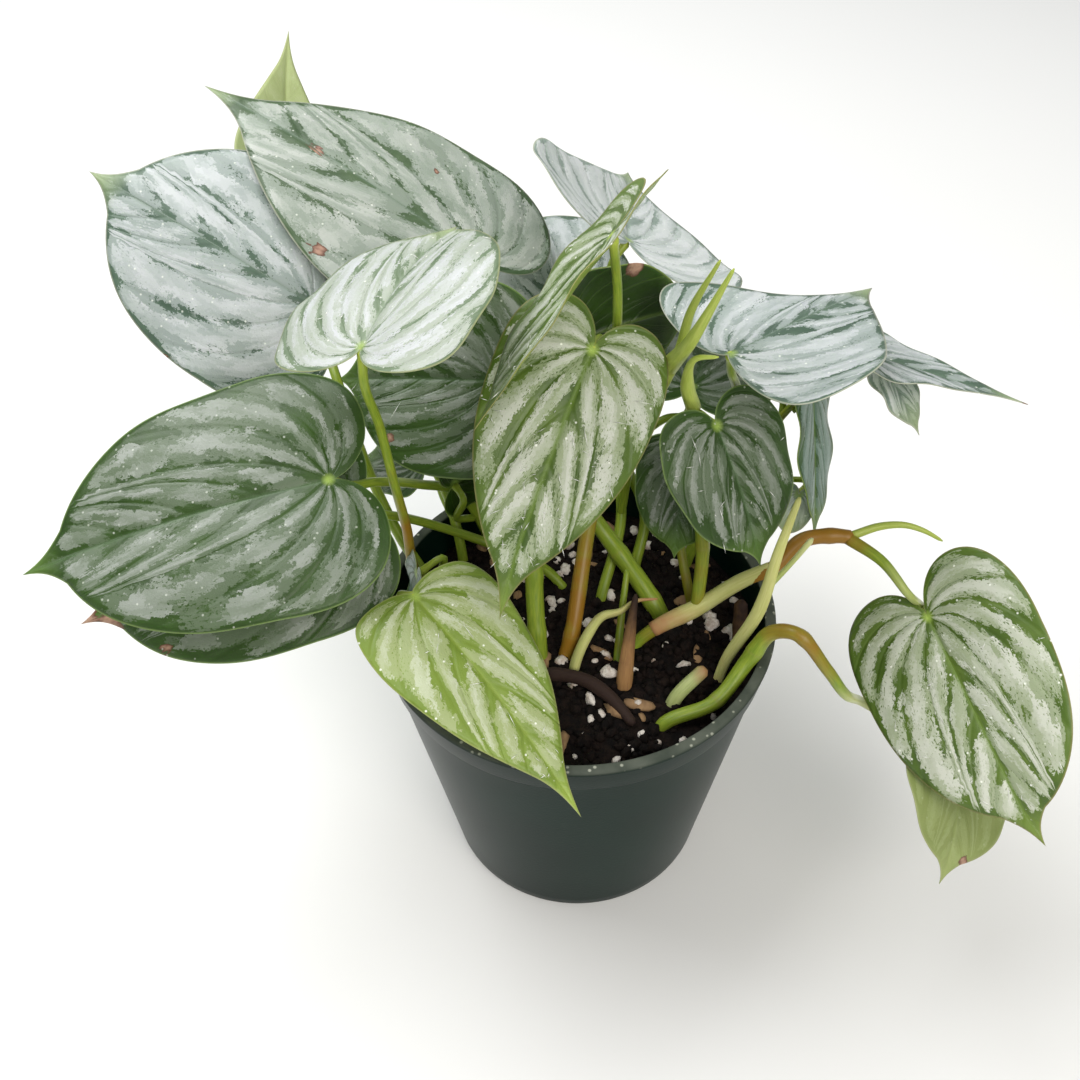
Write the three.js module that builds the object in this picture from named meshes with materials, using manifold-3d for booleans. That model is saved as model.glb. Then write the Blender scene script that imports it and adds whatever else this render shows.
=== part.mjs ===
// Philodendron brandtianum in a thin-walled nursery pot: pot, soil, rooted stems with their leaf stalks,
// papery sheaths and new shoots, and heart-shaped leaf blades, each blade a solid of its own.
// Millimetres, +Z up. The origin is the centre of the pot's flat base, and -Y is the side one looks from.
import * as THREE from "three";
import { mergeVertices } from "three/addons/utils/BufferGeometryUtils.js";
import Module from "manifold-3d";

const wasm = await Module();
wasm.setup();

const POT = {
  height: 94,
  rimRadius: 54,
  baseRadius: 39,
  wall: 1.2,
  lipWidth: 3,
  bandHeight: 9,
  bandStep: 0.8,
  floor: 1.6,
  drainHoles: 6,
  drainRadius: 4,
  drainCircle: 30,
  sides: 40,
};
const SOIL = {
  level: 82,
  swell: 1.5,
  lumps: 1.1,
  gap: 0.4,
  rings: 5,
  grains: 16,
  grainRadius: 2.2,
  grainSpread: 42,
  seed: 11,
};
const BLADE = {
  thickness: 0.9,
  rings: [0.42, 0.74, 1],
  halfSteps: 12,
  clearance: 0.45,
  waves: 2.3,
  tipStart: 0.7,
};
const STALK = { sides: 7, step: 12, neck: 6, joint: 1.3 };
const SHORTEST_EDGE = 0.04;

const COLOURS = {
  pot: "#1f3b34",
  soil: "#231a17",
  stem: "#7c9a3c",
  sheath: "#c2c47a",
  bark: "#4a3530",
  shoot: "#b3c65f",
  young: "#b4c49c",
  mature: "#7d9478",
  old: "#9aa9a4",
  shaded: "#5d7f35",
};

const radians = THREE.MathUtils.degToRad;
const vector = ([x, y, z]) => new THREE.Vector3(x, y, z);

// Solids and meshes.
function solidOf(geometry) {
  const bare = geometry.clone();
  bare.deleteAttribute("normal");
  bare.deleteAttribute("uv");
  const merged = mergeVertices(bare, 1e-3);
  const vertProperties = new Float32Array(merged.attributes.position.array);
  const triVerts = new Uint32Array(merged.index.array);
  return new wasm.Manifold(new wasm.Mesh({ numProp: 3, vertProperties, triVerts }));
}

function geometryFrom(points, triangles) {
  const geometry = new THREE.BufferGeometry().setFromPoints(points);
  geometry.setIndex(triangles.flat());
  geometry.computeVertexNormals();
  return geometry;
}

// Joins and cuts leave slivers. The two ends of a very short edge are drawn together where the edge's two
// triangles are all that its ends share, so that the surface stays closed.
function geometryOf(solid) {
  const mesh = solid.getMesh();
  const point = (i) => new THREE.Vector3().fromArray(mesh.vertProperties, 3 * i);
  const points = Array.from({ length: mesh.vertProperties.length / 3 }, (_, i) => point(i));
  const corners = [...mesh.triVerts];
  let triangles = [];
  for (let i = 0; i < corners.length; i += 3) triangles.push(corners.slice(i, i + 3));
  const around = (corner) => new Set(triangles.filter((one) => one.includes(corner)).flat());
  const isShort = ([a, b]) => points[a].distanceTo(points[b]) < SHORTEST_EDGE;
  const isFree = ([a, b]) => around(a).intersection(around(b)).size === 4;
  for (;;) {
    const edges = triangles.flatMap(([a, b, c]) => [[a, b], [b, c], [c, a]]);
    const found = edges.find((edge) => isShort(edge) && isFree(edge));
    if (!found) break;
    const [kept, dropped] = found;
    triangles = triangles.map((one) => one.map((corner) => (corner === dropped ? kept : corner)));
    triangles = triangles.filter((one) => new Set(one).size === 3);
  }
  const used = [...new Set(triangles.flat())];
  const place = new Map(used.map((corner, i) => [corner, i]));
  return geometryFrom(
    used.map((corner) => points[corner]),
    triangles.map((one) => one.map((corner) => place.get(corner))),
  );
}

const joined = (solids) => solids.reduce((whole, solid) => whole.add(solid));
const largestPiece = (solid) =>
  solid.decompose().reduce((best, piece) => (piece.volume() > best.volume() ? piece : best));

const part = new THREE.Group();

function addNode(name, geometry, colour, roughness) {
  const material = new THREE.MeshStandardMaterial({ color: COLOURS[colour], roughness, metalness: 0 });
  const mesh = new THREE.Mesh(geometry, material);
  mesh.name = name;
  part.add(mesh);
}

// One half of a blade's outline: along the midrib in blade lengths from where the stalk meets it, and out
// from the midrib in half widths. It starts in the notch, rounds the lobe and runs out into the long tip. A
// full blade keeps its width longer before the tip.
function halfOutline({ full, lobes }) {
  const path = new THREE.Path();
  const shoulder = [0.42 + 0.12 * full, 0.91 + 0.06 * full];
  const flank = [0.6 + 0.14 * full, 0.53 + 0.15 * full];
  path.moveTo(-0.02, 0);
  path.bezierCurveTo(-0.6 * lobes, 0.04, -1.2 * lobes, 0.24, -lobes, 0.58);
  path.bezierCurveTo(-0.8 * lobes, 0.86, -0.02, 1.02, 0.18 + 0.04 * full, 0.98);
  path.bezierCurveTo(...shoulder, ...flank, 0.78 + 0.06 * full, 0.22);
  path.bezierCurveTo(0.86 + 0.04 * full, 0.07, 0.94, 0.03, 1, 0);
  return path.getSpacedPoints(BLADE.halfSteps);
}

// The end of an arc of this length that sets off at the angle start above the level and turns by turn.
function arcEnd(length, start, turn) {
  if (Math.abs(turn) < 1e-3) return [length * Math.cos(start), length * Math.sin(start)];
  const radius = length / turn;
  const end = start + turn;
  return [radius * (Math.sin(end) - Math.sin(start)), radius * (Math.cos(start) - Math.cos(end))];
}

// The blade's own axes: forward from the stalk to the tip, left across it, and up out of its upper face.
function bladeAxes({ heading, dip, roll }) {
  const turn = new THREE.Euler(radians(roll), radians(dip), radians(heading), "ZYX");
  const axes = [new THREE.Vector3(1, 0, 0), new THREE.Vector3(0, 1, 0), new THREE.Vector3(0, 0, 1)];
  return axes.map((axis) => axis.applyEuler(turn));
}

// A point of the blade's middle surface. The midrib is an arc that droops, each half rises from it at the
// fold's angle and curls down to its margin, the margin waves, and the tip hooks to one side.
function bladePoint(leaf, along, across) {
  const [forward, left, up] = bladeAxes(leaf);
  const side = Math.sign(across);
  const out = Math.abs(across);
  const droop = radians(leaf.droop);
  const fold = radians(leaf.fold[side > 0 ? 0 : 1]);
  const [ahead, rise] = arcEnd(leaf.length * along, droop / 2, -droop * along);
  const [outward, lift] = arcEnd((out * leaf.width) / 2, fold, -radians(leaf.curl) * out);
  const slope = droop * (0.5 - along);
  const wave = leaf.wave * out ** 2 * Math.sin(2 * Math.PI * BLADE.waves * along + leaf.at[0] + 2 * side);
  const tip = Math.max(0, (along - BLADE.tipStart) / (1 - BLADE.tipStart)) ** 2;
  const height = lift + wave;
  return vector(leaf.at)
    .addScaledVector(forward, ahead - height * Math.sin(slope))
    .addScaledVector(up, rise + height * Math.cos(slope))
    .addScaledVector(left, side * outward + leaf.hook * tip);
}

// A closed blade: rings of points around where the stalk meets it, alike on both faces, and a rim strip.
function bladeGeometry(leaf, thickness) {
  const half = halfOutline(leaf);
  const rim = [...half, ...half.slice(1, -1).reverse().map((point) => new THREE.Vector2(point.x, -point.y))];
  const middle = [bladePoint(leaf, 0, 0)];
  for (const ring of BLADE.rings) {
    middle.push(...rim.map(({ x, y }) => bladePoint(leaf, x * ring, y * ring)));
  }
  const count = rim.length;
  const face = rim.map((_, i) => [0, 1 + ((i + 1) % count), 1 + i]);
  for (let ring = 1; ring < BLADE.rings.length; ring++) {
    for (let i = 0; i < count; i++) {
      const inner = 1 + (ring - 1) * count;
      const outer = inner + count;
      const next = (i + 1) % count;
      face.push([inner + i, inner + next, outer + i], [inner + next, outer + next, outer + i]);
    }
  }
  const sheet = geometryFrom(middle, face);
  const normal = new THREE.Vector3();
  const faceAt = (offset) =>
    middle.map((point, i) => {
      normal.fromBufferAttribute(sheet.attributes.normal, i);
      return point.clone().addScaledVector(normal, offset);
    });
  const total = middle.length;
  const lower = face.map(([a, b, c]) => [a + total, c + total, b + total]);
  const edge = rim.flatMap((_, i) => {
    const here = total - count + i;
    const next = total - count + ((i + 1) % count);
    return [
      [here, next, next + total],
      [here, next + total, here + total],
    ];
  });
  return geometryFrom([...faceAt(thickness / 2), ...faceAt(-thickness / 2)], [...face, ...lower, ...edge]);
}

// The leaves: name, age, where the stalk meets the blade, [heading, dip, roll], [length, width] and [droop,
// left fold, right fold, curl]. The heading is counted from +X towards +Y and the dip downwards, both of the
// straight line to the tip, and the roll lifts the blade's left side. Angles are in degrees.
const leaf = (name, age, at, turns, [length, width], bends, more) => {
  const [heading, dip, roll] = turns;
  const [droop, foldLeft, foldRight, curl] = bends;
  const fold = [foldLeft, foldRight];
  const usual = { full: 1, lobes: 0.17, hook: 0, wave: 0.8, neck: STALK.neck };
  return { ...usual, name, age, at, heading, dip, roll, length, width, droop, fold, curl, ...more };
};
const LEAVES = [
  leaf("leaf_left", "mature", [-61, 1, 140], [-169, 13, -25], [82, 66], [25, 8, 8, 20], { lobes: 0.14 }),
  leaf("leaf_left_under", "mature", [-61, 5, 124], [-166, 18, -30], [76, 60], [20, 8, 8, 20], {
    lobes: 0.14,
  }),
  leaf("leaf_back_left", "old", [-73, 62, 150], [158, -22, -40], [72, 70], [20, 5, -12, 15]),
  leaf("leaf_top_left", "old", [-28, 80, 152], [155, -22, -20], [94, 70], [21, 7, -15, 3], { full: 0.35 }),
  leaf("leaf_young_left", "young", [-48, 3, 179], [68, -3, -10], [50, 60], [32, 2, 22, 28], {
    lobes: 0.15,
  }),
  leaf("leaf_mid_left", "mature", [-22, 35, 144], [166, 10, -43], [46, 54], [20, 6, 12, 12], { lobes: 0.25 }),
  leaf("leaf_centre_high", "young", [8, 19, 197], [-135, 35, 43], [53, 38], [5, 4, 4, -10], {
    lobes: 0.3,
    neck: 0,
  }),
  leaf("leaf_front", "young", [4, 16, 168], [-119, 44, -16], [69, 44], [30, -7, 16, 26], {
    full: 0.4,
    lobes: 0.15,
    hook: 1.5,
  }),
  leaf("leaf_small_right", "mature", [35, 14, 146], [-55, 56, 0], [39, 38], [20, 8, 8, 20]),
  leaf("leaf_small_right_under", "mature", [29, 23, 128], [-100, 66, 0], [30, 26], [20, 8, 8, 20]),
  leaf("leaf_right", "old", [37, 17, 166], [40, 5, 36], [53, 70], [32, -60, 31, -40], {
    full: -0.2,
    lobes: 0.06,
    neck: 0,
  }),
  leaf("leaf_far_right", "old", [73.5, 36, 152], [-11, 14, -18], [45, 30], [2, 9, 2, 4], {
    full: -0.5,
    lobes: 0.05,
  }),
  leaf("leaf_right_low", "old", [80, 39.5, 146], [-50, 42, -8], [22, 16], [16, 5, 8, 12], { lobes: 0.08 }),
  leaf("leaf_top_right", "old", [14.4, 73.5, 162], [88, 10, 37], [55, 72], [-4, 3, 9, -8], {
    full: -0.3,
    lobes: 0.26,
  }),
  leaf("leaf_centre_back", "shaded", [1.5, 45, 150], [20, -4, -95], [35, 38], [20, 6, 6, 15], { lobes: 0.3 }),
  leaf("leaf_back_centre", "old", [-4, 80, 133], [110, -5, -20], [50, 50], [30, 6, 6, 15]),
  leaf("leaf_back_low", "mature", [-22, 70, 122], [115, 20, 0], [54, 50], [30, 6, 6, 15]),
  leaf("leaf_back_right", "mature", [34, 62, 120], [70, 10, 0], [52, 48], [30, 6, 6, 15]),
  leaf("leaf_back_upright", "shaded", [-84, 108, 150], [98, -23, 44], [73, 42], [-25, 4, 17, 10], {
    full: -0.1,
    lobes: 0.05,
  }),
  leaf("leaf_right_hanging", "shaded", [63, 37, 138], [-87, 52, -55], [40, 26], [6, 8, 12, 20], {
    lobes: 0.06,
  }),
  leaf("leaf_right_small", "young", [61, 24, 113], [-115, 50, 0], [13, 11], [15, 10, 10, 10]),
  leaf("leaf_inner_left", "mature", [-47, 51, 100], [140, 24, -30], [28, 24], [15, 8, 8, 15]),
  leaf("leaf_inner_turned", "shaded", [-34, 29, 112], [50, 2, -100], [30, 22], [15, 8, 8, 15]),
  leaf("leaf_inner_low", "shaded", [-42, -1, 108], [-100, 80, 60], [24, 18], [15, 8, 8, 15]),
  leaf("leaf_front_left", "young", [-40, -18, 118], [-47, 26, 0], [68, 40], [30, 8, 8, 25], {
    full: 0.2,
    lobes: 0.05,
  }),
  leaf("leaf_trailing", "young", [92, -9, 100], [-65, 28, 29], [64, 52], [35, 34, -8, 24], {
    lobes: 0.18,
    hook: 1.5,
  }),
  leaf("leaf_trailing_under", "shaded", [102.4, -23, 67.5], [-101, 28, -37], [41, 37], [46, 15, 4, 14], {
    lobes: 0.06,
  }),
];
const leafNamed = (name) => LEAVES.find((one) => one.name === name);

// A round stalk through these points, its radii spread evenly along it. grow makes the hole it stands in.
function stalkGeometry(points, radii, grow = 0) {
  const path = points.map(vector);
  const [first, second] = path;
  const [last, before] = [path.at(-1), path.at(-2)];
  if (grow) {
    first.addScaledVector(first.clone().sub(second).normalize(), grow);
    last.addScaledVector(last.clone().sub(before).normalize(), grow);
  }
  const curve = new THREE.CatmullRomCurve3(path, false, "centripetal");
  const steps = Math.max(3, Math.round((curve.getLength() - 2 * grow) / STALK.step));
  const { normals, binormals } = curve.computeFrenetFrames(steps, false);
  const vertices = [];
  for (let step = 0; step <= steps; step++) {
    const place = (step / steps) * (radii.length - 1);
    const from = Math.min(Math.floor(place), radii.length - 2);
    const radius = THREE.MathUtils.lerp(radii[from], radii[from + 1], place - from) + grow;
    for (let side = 0; side < STALK.sides; side++) {
      const angle = (2 * Math.PI * side) / STALK.sides;
      const point = curve.getPointAt(step / steps);
      point.addScaledVector(normals[step], radius * Math.cos(angle));
      vertices.push(point.addScaledVector(binormals[step], radius * Math.sin(angle)));
    }
  }
  const triangles = [];
  for (let step = 0; step < steps; step++) {
    for (let side = 0; side < STALK.sides; side++) {
      const here = step * STALK.sides + side;
      const next = step * STALK.sides + ((side + 1) % STALK.sides);
      triangles.push([here, next, next + STALK.sides], [here, next + STALK.sides, here + STALK.sides]);
    }
  }
  const end = steps * STALK.sides;
  for (let side = 1; side < STALK.sides - 1; side++) {
    triangles.push([0, side + 1, side], [end, end + side, end + side + 1]);
  }
  return geometryFrom(vertices, triangles);
}

// A stalk that carries a blade stops short of its underside. Most bend over a neck behind and below it.
const stalk = (points, radii, leafName) => ({ points, radii, leafName });

function stalkPath({ points, leafName }) {
  if (!leafName) return points;
  const carried = leafNamed(leafName);
  const [forward, , up] = bladeAxes(carried);
  const joint = vector(carried.at).addScaledVector(up, -STALK.joint);
  if (!carried.neck) return [...points, joint.toArray()];
  const neck = joint.clone().addScaledVector(forward, -carried.neck * 0.6).addScaledVector(up, -carried.neck);
  return [...points, neck.toArray(), joint.toArray()];
}

function stemSolid(stalks) {
  const whole = joined(stalks.map((one) => solidOf(stalkGeometry(stalkPath(one), one.radii))));
  const blades = stalks.filter((one) => one.leafName).map((one) => leafNamed(one.leafName));
  const cut = blades.map((one) => solidOf(bladeGeometry(one, BLADE.thickness + 2 * BLADE.clearance)));
  return largestPiece(cut.reduce((rest, blade) => rest.subtract(blade), whole));
}

// The stems by node: each a cutting rooted in the soil with the leaf stalks that grow from it, then the
// loose growth on them. Every path starts at its lowest or innermost end.
const STEMS = [
  ["stem_front", "stem", [
    stalk([[-10, -11, 68], [-10, -11, 82], [-11, 3, 108], [-7, 12, 135], [0, 18, 158]],
      [2.6, 2.4, 1.8, 1.2], "leaf_front"),
  ]],
  ["stem_centre", "stem", [
    stalk([[-4, -9, 68], [-3, -9, 82], [-1, -6, 90], [3, 11, 110], [9, 26, 140], [10, 25, 176]],
      [2, 2.2, 1.7, 1.2, 1.1], "leaf_centre_high"),
  ]],
  ["stem_leaning", "stem", [
    stalk([[25, 5, 68], [24, 6, 82], [7, 24, 100], [-8, 29, 122]], [2.8, 2.6, 1.8, 1.2], "leaf_mid_left"),
  ]],
  ["stem_inner", "stem", [
    stalk([[7, 12, 68], [7, 12, 82], [13, 30, 98], [11, 46, 114], [12, 62, 132], [10, 68, 147]],
      [1.6, 1.5, 1.3, 1.1], "leaf_top_right"),
    stalk([[13, 31, 99], [15, 31, 118], [18.5, 25, 138]], [1.3, 1.3, 1.4]),
  ]],
  ["stem_inner_back", "stem", [
    stalk([[17, 24, 68], [17, 24, 82], [20, 33, 96], [14, 38, 112], [7, 43, 132]],
      [1.7, 1.5, 1.3, 1.1], "leaf_centre_back"),
  ]],
  ["stem_thin", "stem", [
    stalk([[11, -14, 70], [11, -14, 80], [12, -4, 88], [14, 8, 100]], [1.3, 1.2, 1, 0.8]),
  ]],
  ["stem_right_vine", "stem", [
    stalk([[13, -8, 72], [16, -5, 83], [24, -2, 89], [33, 1, 92], [44, 4, 99], [53, 5, 104], [60, 9, 110],
      [68, 9, 112], [73.5, 8, 112.3]], [1.8, 1.7, 2, 1.7, 1.8, 2.1, 1.9]),
    stalk([[72, 8, 112], [80, 1, 110.5], [86, -6, 106]], [1.7, 1.1, 1], "leaf_trailing"),
    stalk([[33, 1, 92], [34, 9, 108], [30, 13, 128], [26, 13, 145]], [1.8, 1.8, 1.6, 1.6]),
    stalk([[28, 13, 137], [31, 15, 142]], [1.3, 1, 0.9], "leaf_small_right"),
  ]],
  ["stem_right_thin", "stem", [
    stalk([[33, 6, 68], [33, 6, 82], [29, 18, 100], [27, 27, 118]],
      [1.5, 1.4, 1.2, 1], "leaf_small_right_under"),
  ]],
  ["stem_right_back", "stem", [
    stalk([[32, 26, 68], [32, 26, 82], [42, 32, 112], [42, 31, 142], [38.5, 23, 156]],
      [1.8, 1.6, 1.3, 1], "leaf_right"),
    stalk([[35, 28, 91], [50, 37, 118], [62, 38, 138]], [1.5, 1.3, 1, 1], "leaf_far_right"),
    stalk([[58.5, 37.7, 131], [70, 42, 139]], [1, 0.9, 0.8], "leaf_right_low"),
    stalk([[48, 36, 114], [56, 39, 128]], [1.1, 1, 0.9], "leaf_right_hanging"),
    stalk([[39, 30, 103], [50, 34, 106], [59, 35, 108]], [1, 0.9, 0.8], "leaf_right_small"),
  ]],
  ["stem_front_vine", "stem", [
    stalk([[20, -33, 72], [23, -31, 83], [36, -27, 87], [45, -19, 95], [50, -17, 103], [56, -20, 106],
      [64, -24, 97], [71, -22, 84], [79, -15, 71], [91, -18, 65]],
      [1.9, 1.9, 2.2, 1.6, 1.4, 1.2, 1.1], "leaf_trailing_under"),
  ]],
  ["stem_left_young", "stem", [
    stalk([[-34, 2, 70], [-36, 2, 82], [-44, 7, 100], [-45, 9, 115], [-46, 6, 135], [-47, 4, 155]],
      [1.6, 1.4, 1.2, 1.1], "leaf_young_left"),
  ]],
  ["stem_left_back", "stem", [
    stalk([[-38, 12, 70], [-40, 13, 82], [-43, 14, 92], [-49, 19, 101], [-55, 26, 112], [-59, 30, 126],
      [-62, 33, 142], [-68, 50, 147]], [1.7, 1.5, 1.3, 1.2], "leaf_back_left"),
    stalk([[-66, 45, 145], [-72, 76, 140], [-80, 94, 143]], [1.2, 1.1, 1], "leaf_back_upright"),
  ]],
  ["stem_left", "stem", [
    stalk([[-24, 34, 70], [-25, 34, 82], [-33, 34, 104], [-43, 25, 116], [-52, 12, 129]],
      [1.7, 1.5, 1.3, 1.2], "leaf_left"),
    stalk([[-30, 34, 94], [-34, 28, 100]], [1.1, 1.1, 0.9], "leaf_inner_turned"),
  ]],
  ["stem_left_low", "stem", [
    stalk([[-2, 15, 70], [-4, 17, 83], [-12, 22, 88], [-26, 26, 92], [-42, 22, 104], [-51, 14, 115]],
      [1.5, 1.4, 1.3, 1.2], "leaf_left_under"),
  ]],
  ["stem_left_top", "stem", [
    stalk([[-33, 26, 70], [-33, 26, 80], [-34, 29, 90], [-37, 36, 100], [-43, 47, 112], [-37, 64, 136]],
      [1.5, 1.4, 1.3, 1.1], "leaf_top_left"),
    stalk([[-34, 30, 93], [-40, 42, 98]], [1.1, 1, 0.9], "leaf_inner_left"),
  ]],
  ["stem_left_low_leaf", "stem", [
    stalk([[-34, -6, 70], [-35, -5, 82], [-38, 2, 98]], [1.3, 1.1, 0.9], "leaf_inner_low"),
  ]],
  ["stem_back", "stem", [
    stalk([[-6, 38, 70], [-6, 39, 82], [-4, 54, 108], [-3, 69, 122]],
      [2, 1.8, 1.4, 1.1], "leaf_back_centre"),
    stalk([[-6, 42, 90], [-14, 56, 108]], [1.3, 1.2, 1.1], "leaf_back_low"),
    stalk([[-6, 40, 84], [10, 50, 100], [26, 57, 112]], [1.5, 1.3, 1.1], "leaf_back_right"),
  ]],
  ["stem_front_left", "stem", [
    stalk([[-26, -12, 70], [-27, -12, 82], [-33, -11, 98]], [1.7, 1.5, 1.2], "leaf_front_left"),
  ]],
  ["sheath_curled", "sheath", [
    stalk([[-1, -15, 78], [0, -13, 86], [3, -9, 92], [7, -3, 93], [12, -2, 94], [16, -1, 97], [22, -1, 98]],
      [2, 2, 1.8, 1.4, 0.9, 0.5]),
  ]],
  ["sheath_long", "sheath", [
    stalk([[37, -18, 78], [40, -14, 88], [47, -12, 106], [51, -6, 122], [57, 7, 128]],
      [1.4, 1.6, 1.8, 1.4, 0.8]),
    stalk([[49.3, -9.4, 112.5], [55, -4, 115], [61.5, 4, 116]], [0.8, 0.7, 0.8]),
  ]],
  ["sheath_dead", "bark", [
    stalk([[13, -19, 74], [13, -18, 84], [15, -6, 95], [16, -2, 101]], [1.8, 2.2, 1.6, 0.7]),
  ]],
  ["shoot_pair", "shoot", [
    stalk([[18.6, 24.6, 138.8], [22.4, 24.6, 154], [27, 11, 175], [34, 7, 196]], [1.5, 2.3, 1.5, 0.4]),
    stalk([[20, 23, 147], [25, 22, 162], [27, 19, 177], [32, 15, 193]], [1.6, 1.4, 1, 0.4]),
  ]],
  ["shoot_hooked", "shoot", [
    stalk([[29.6, 20.4, 146.8], [27.2, 16.5, 157], [28, 11, 169], [33, 9, 171]], [2, 1.8, 1, 0.4]),
  ]],
  ["shoot_trailing", "shoot", [
    stalk([[74.7, 9, 113.2], [80, 9.8, 114.6], [86, 9, 116], [91, 8, 115], [96.5, 7, 112]],
      [1.2, 1.1, 0.9, 0.7, 0.4]),
  ]],
  ["twig_dark", "bark", [
    stalk([[-15, -16, 78], [-9, -16, 84], [2, -19, 86], [9, -24, 85], [15, -32, 84]],
      [1.5, 1.8, 1.9, 1.3]),
  ]],
  ["stub_cut", "stem", [
    stalk([[25, -25, 72], [26, -24, 84], [34, -19, 91]], [2.2, 2.2, 2.1]),
  ]],
  ["stub_woody", "bark", [
    stalk([[45, -3, 72], [45, -3, 84], [45, 2, 94]], [2, 2, 1.8]),
  ]],
];

// The pot: a thin cone with a flat floor, a thicker band under its lip, and drain holes in the floor.
const potSlope = (POT.rimRadius - POT.bandStep - POT.baseRadius) / POT.height;
const potOutside = (height) => POT.baseRadius + potSlope * height;
const potInside = (height) => potOutside(height) - POT.wall;

function potSolid() {
  const bandFoot = POT.height - POT.bandHeight;
  const profile = [
    [0, 0],
    [POT.baseRadius, 0],
    [potOutside(bandFoot), bandFoot],
    [potOutside(bandFoot) + POT.bandStep, bandFoot],
    [POT.rimRadius, POT.height],
    [POT.rimRadius - POT.lipWidth, POT.height],
    [potInside(bandFoot), bandFoot],
    [potInside(POT.floor), POT.floor],
    [0, POT.floor],
  ];
  const shell = new THREE.LatheGeometry(profile.map(([r, z]) => new THREE.Vector2(r, z)), POT.sides);
  shell.rotateX(Math.PI / 2);
  let solid = solidOf(shell);
  for (let hole = 0; hole < POT.drainHoles; hole++) {
    const drill = new THREE.CylinderGeometry(POT.drainRadius, POT.drainRadius, 4 * POT.floor, 12);
    drill.rotateX(Math.PI / 2);
    drill.translate(POT.drainCircle, 0, 0);
    drill.rotateZ((2 * Math.PI * hole) / POT.drainHoles);
    solid = solid.subtract(solidOf(drill));
  }
  return solid;
}

// The soil: a plug that fills the pot to below its lip, swollen and lumpy on top, with larger grains half
// sunk in it and a hole around everything that stands or lies in it.
function soilSolid() {
  const random = THREE.MathUtils.seededRandom;
  random(SOIL.seed);
  const foot = POT.floor + SOIL.gap;
  const topRadius = potInside(SOIL.level) - SOIL.gap;
  const topAt = (radius) => SOIL.level + SOIL.swell * (1 - (radius / topRadius) ** 2);
  const circle = (radius, height) =>
    Array.from({ length: POT.sides }, (_, i) => {
      const angle = (2 * Math.PI * i) / POT.sides;
      return new THREE.Vector3(radius * Math.cos(angle), radius * Math.sin(angle), height());
    });
  const points = [new THREE.Vector3(0, 0, topAt(0))];
  for (let ring = 1; ring <= SOIL.rings; ring++) {
    const radius = (topRadius * ring) / SOIL.rings;
    points.push(...circle(radius, () => topAt(radius) + SOIL.lumps * (2 * random() - 1)));
  }
  points.push(...circle(potInside(foot) - SOIL.gap, () => foot), new THREE.Vector3(0, 0, foot));
  const last = points.length - 1;
  const triangles = [];
  for (let i = 0; i < POT.sides; i++) {
    const next = (i + 1) % POT.sides;
    triangles.push([0, 1 + i, 1 + next]);
    for (let ring = 0; ring < SOIL.rings; ring++) {
      const inner = 1 + ring * POT.sides;
      const outer = inner + POT.sides;
      triangles.push([inner + i, outer + i, inner + next], [outer + i, outer + next, inner + next]);
    }
    triangles.push([last, last - POT.sides + next, last - POT.sides + i]);
  }
  let solid = solidOf(geometryFrom(points, triangles));
  for (let i = 0; i < SOIL.grains; i++) {
    const grain = new THREE.IcosahedronGeometry(SOIL.grainRadius * (0.5 + 0.5 * random()));
    const radius = SOIL.grainSpread * Math.sqrt(random());
    grain.translate(radius, 0, topAt(radius));
    grain.rotateZ(2 * Math.PI * random());
    solid = solid.add(solidOf(grain));
  }
  const stalks = STEMS.flatMap(([, , rooted]) => rooted);
  const holes = stalks.map((one) => solidOf(stalkGeometry(stalkPath(one), one.radii, SOIL.gap)));
  return largestPiece(solid.subtract(joined(holes)));
}

addNode("pot", geometryOf(potSolid()), "pot", 0.45);
addNode("soil", geometryOf(soilSolid()), "soil", 0.95);
LEAVES.forEach((one) => addNode(one.name, bladeGeometry(one, BLADE.thickness), one.age, 0.5));
for (const [name, colour, stalks] of STEMS) addNode(name, geometryOf(stemSolid(stalks)), colour, 0.55);

export default part;
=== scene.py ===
import math

import bmesh
import bpy
import numpy as np
from mathutils import Matrix, Vector, noise


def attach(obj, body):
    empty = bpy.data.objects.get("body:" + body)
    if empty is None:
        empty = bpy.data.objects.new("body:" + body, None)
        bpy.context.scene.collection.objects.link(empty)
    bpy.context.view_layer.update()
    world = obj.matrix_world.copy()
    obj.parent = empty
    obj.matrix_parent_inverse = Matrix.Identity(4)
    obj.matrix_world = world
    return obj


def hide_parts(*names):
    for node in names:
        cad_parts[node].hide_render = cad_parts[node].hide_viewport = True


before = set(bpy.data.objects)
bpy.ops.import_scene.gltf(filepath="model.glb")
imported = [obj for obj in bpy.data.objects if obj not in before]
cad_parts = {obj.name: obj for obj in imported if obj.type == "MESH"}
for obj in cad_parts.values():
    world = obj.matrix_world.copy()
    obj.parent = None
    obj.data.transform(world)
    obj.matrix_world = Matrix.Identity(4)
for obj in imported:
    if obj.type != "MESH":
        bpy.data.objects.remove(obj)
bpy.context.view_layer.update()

# The camera stands in front of the plant, a little to the left of straight on, and looks down into it
# from about 0.4 m. Its lens keeps the slightly wide view of a hand-held camera close to a small plant.
scene = bpy.context.scene
camera_data = bpy.data.cameras.new("camera")
camera_data.sensor_width = 36
camera_data.lens = 40
camera_data.clip_start = 0.01
camera = bpy.data.objects.new("camera", camera_data)
scene.collection.objects.link(camera)
camera_azimuth = math.radians(-2.45)
camera_down = math.radians(45.8)
camera_roll = math.radians(-1.8)
ahead = Vector((
    math.sin(camera_azimuth) * math.cos(camera_down),
    math.cos(camera_azimuth) * math.cos(camera_down),
    -math.sin(camera_down),
))
level = Vector((math.cos(camera_azimuth), -math.sin(camera_azimuth), 0))
steep = level.cross(ahead)
camera_right = level * math.cos(camera_roll) + steep * math.sin(camera_roll)
camera_up = steep * math.cos(camera_roll) - level * math.sin(camera_roll)
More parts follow.
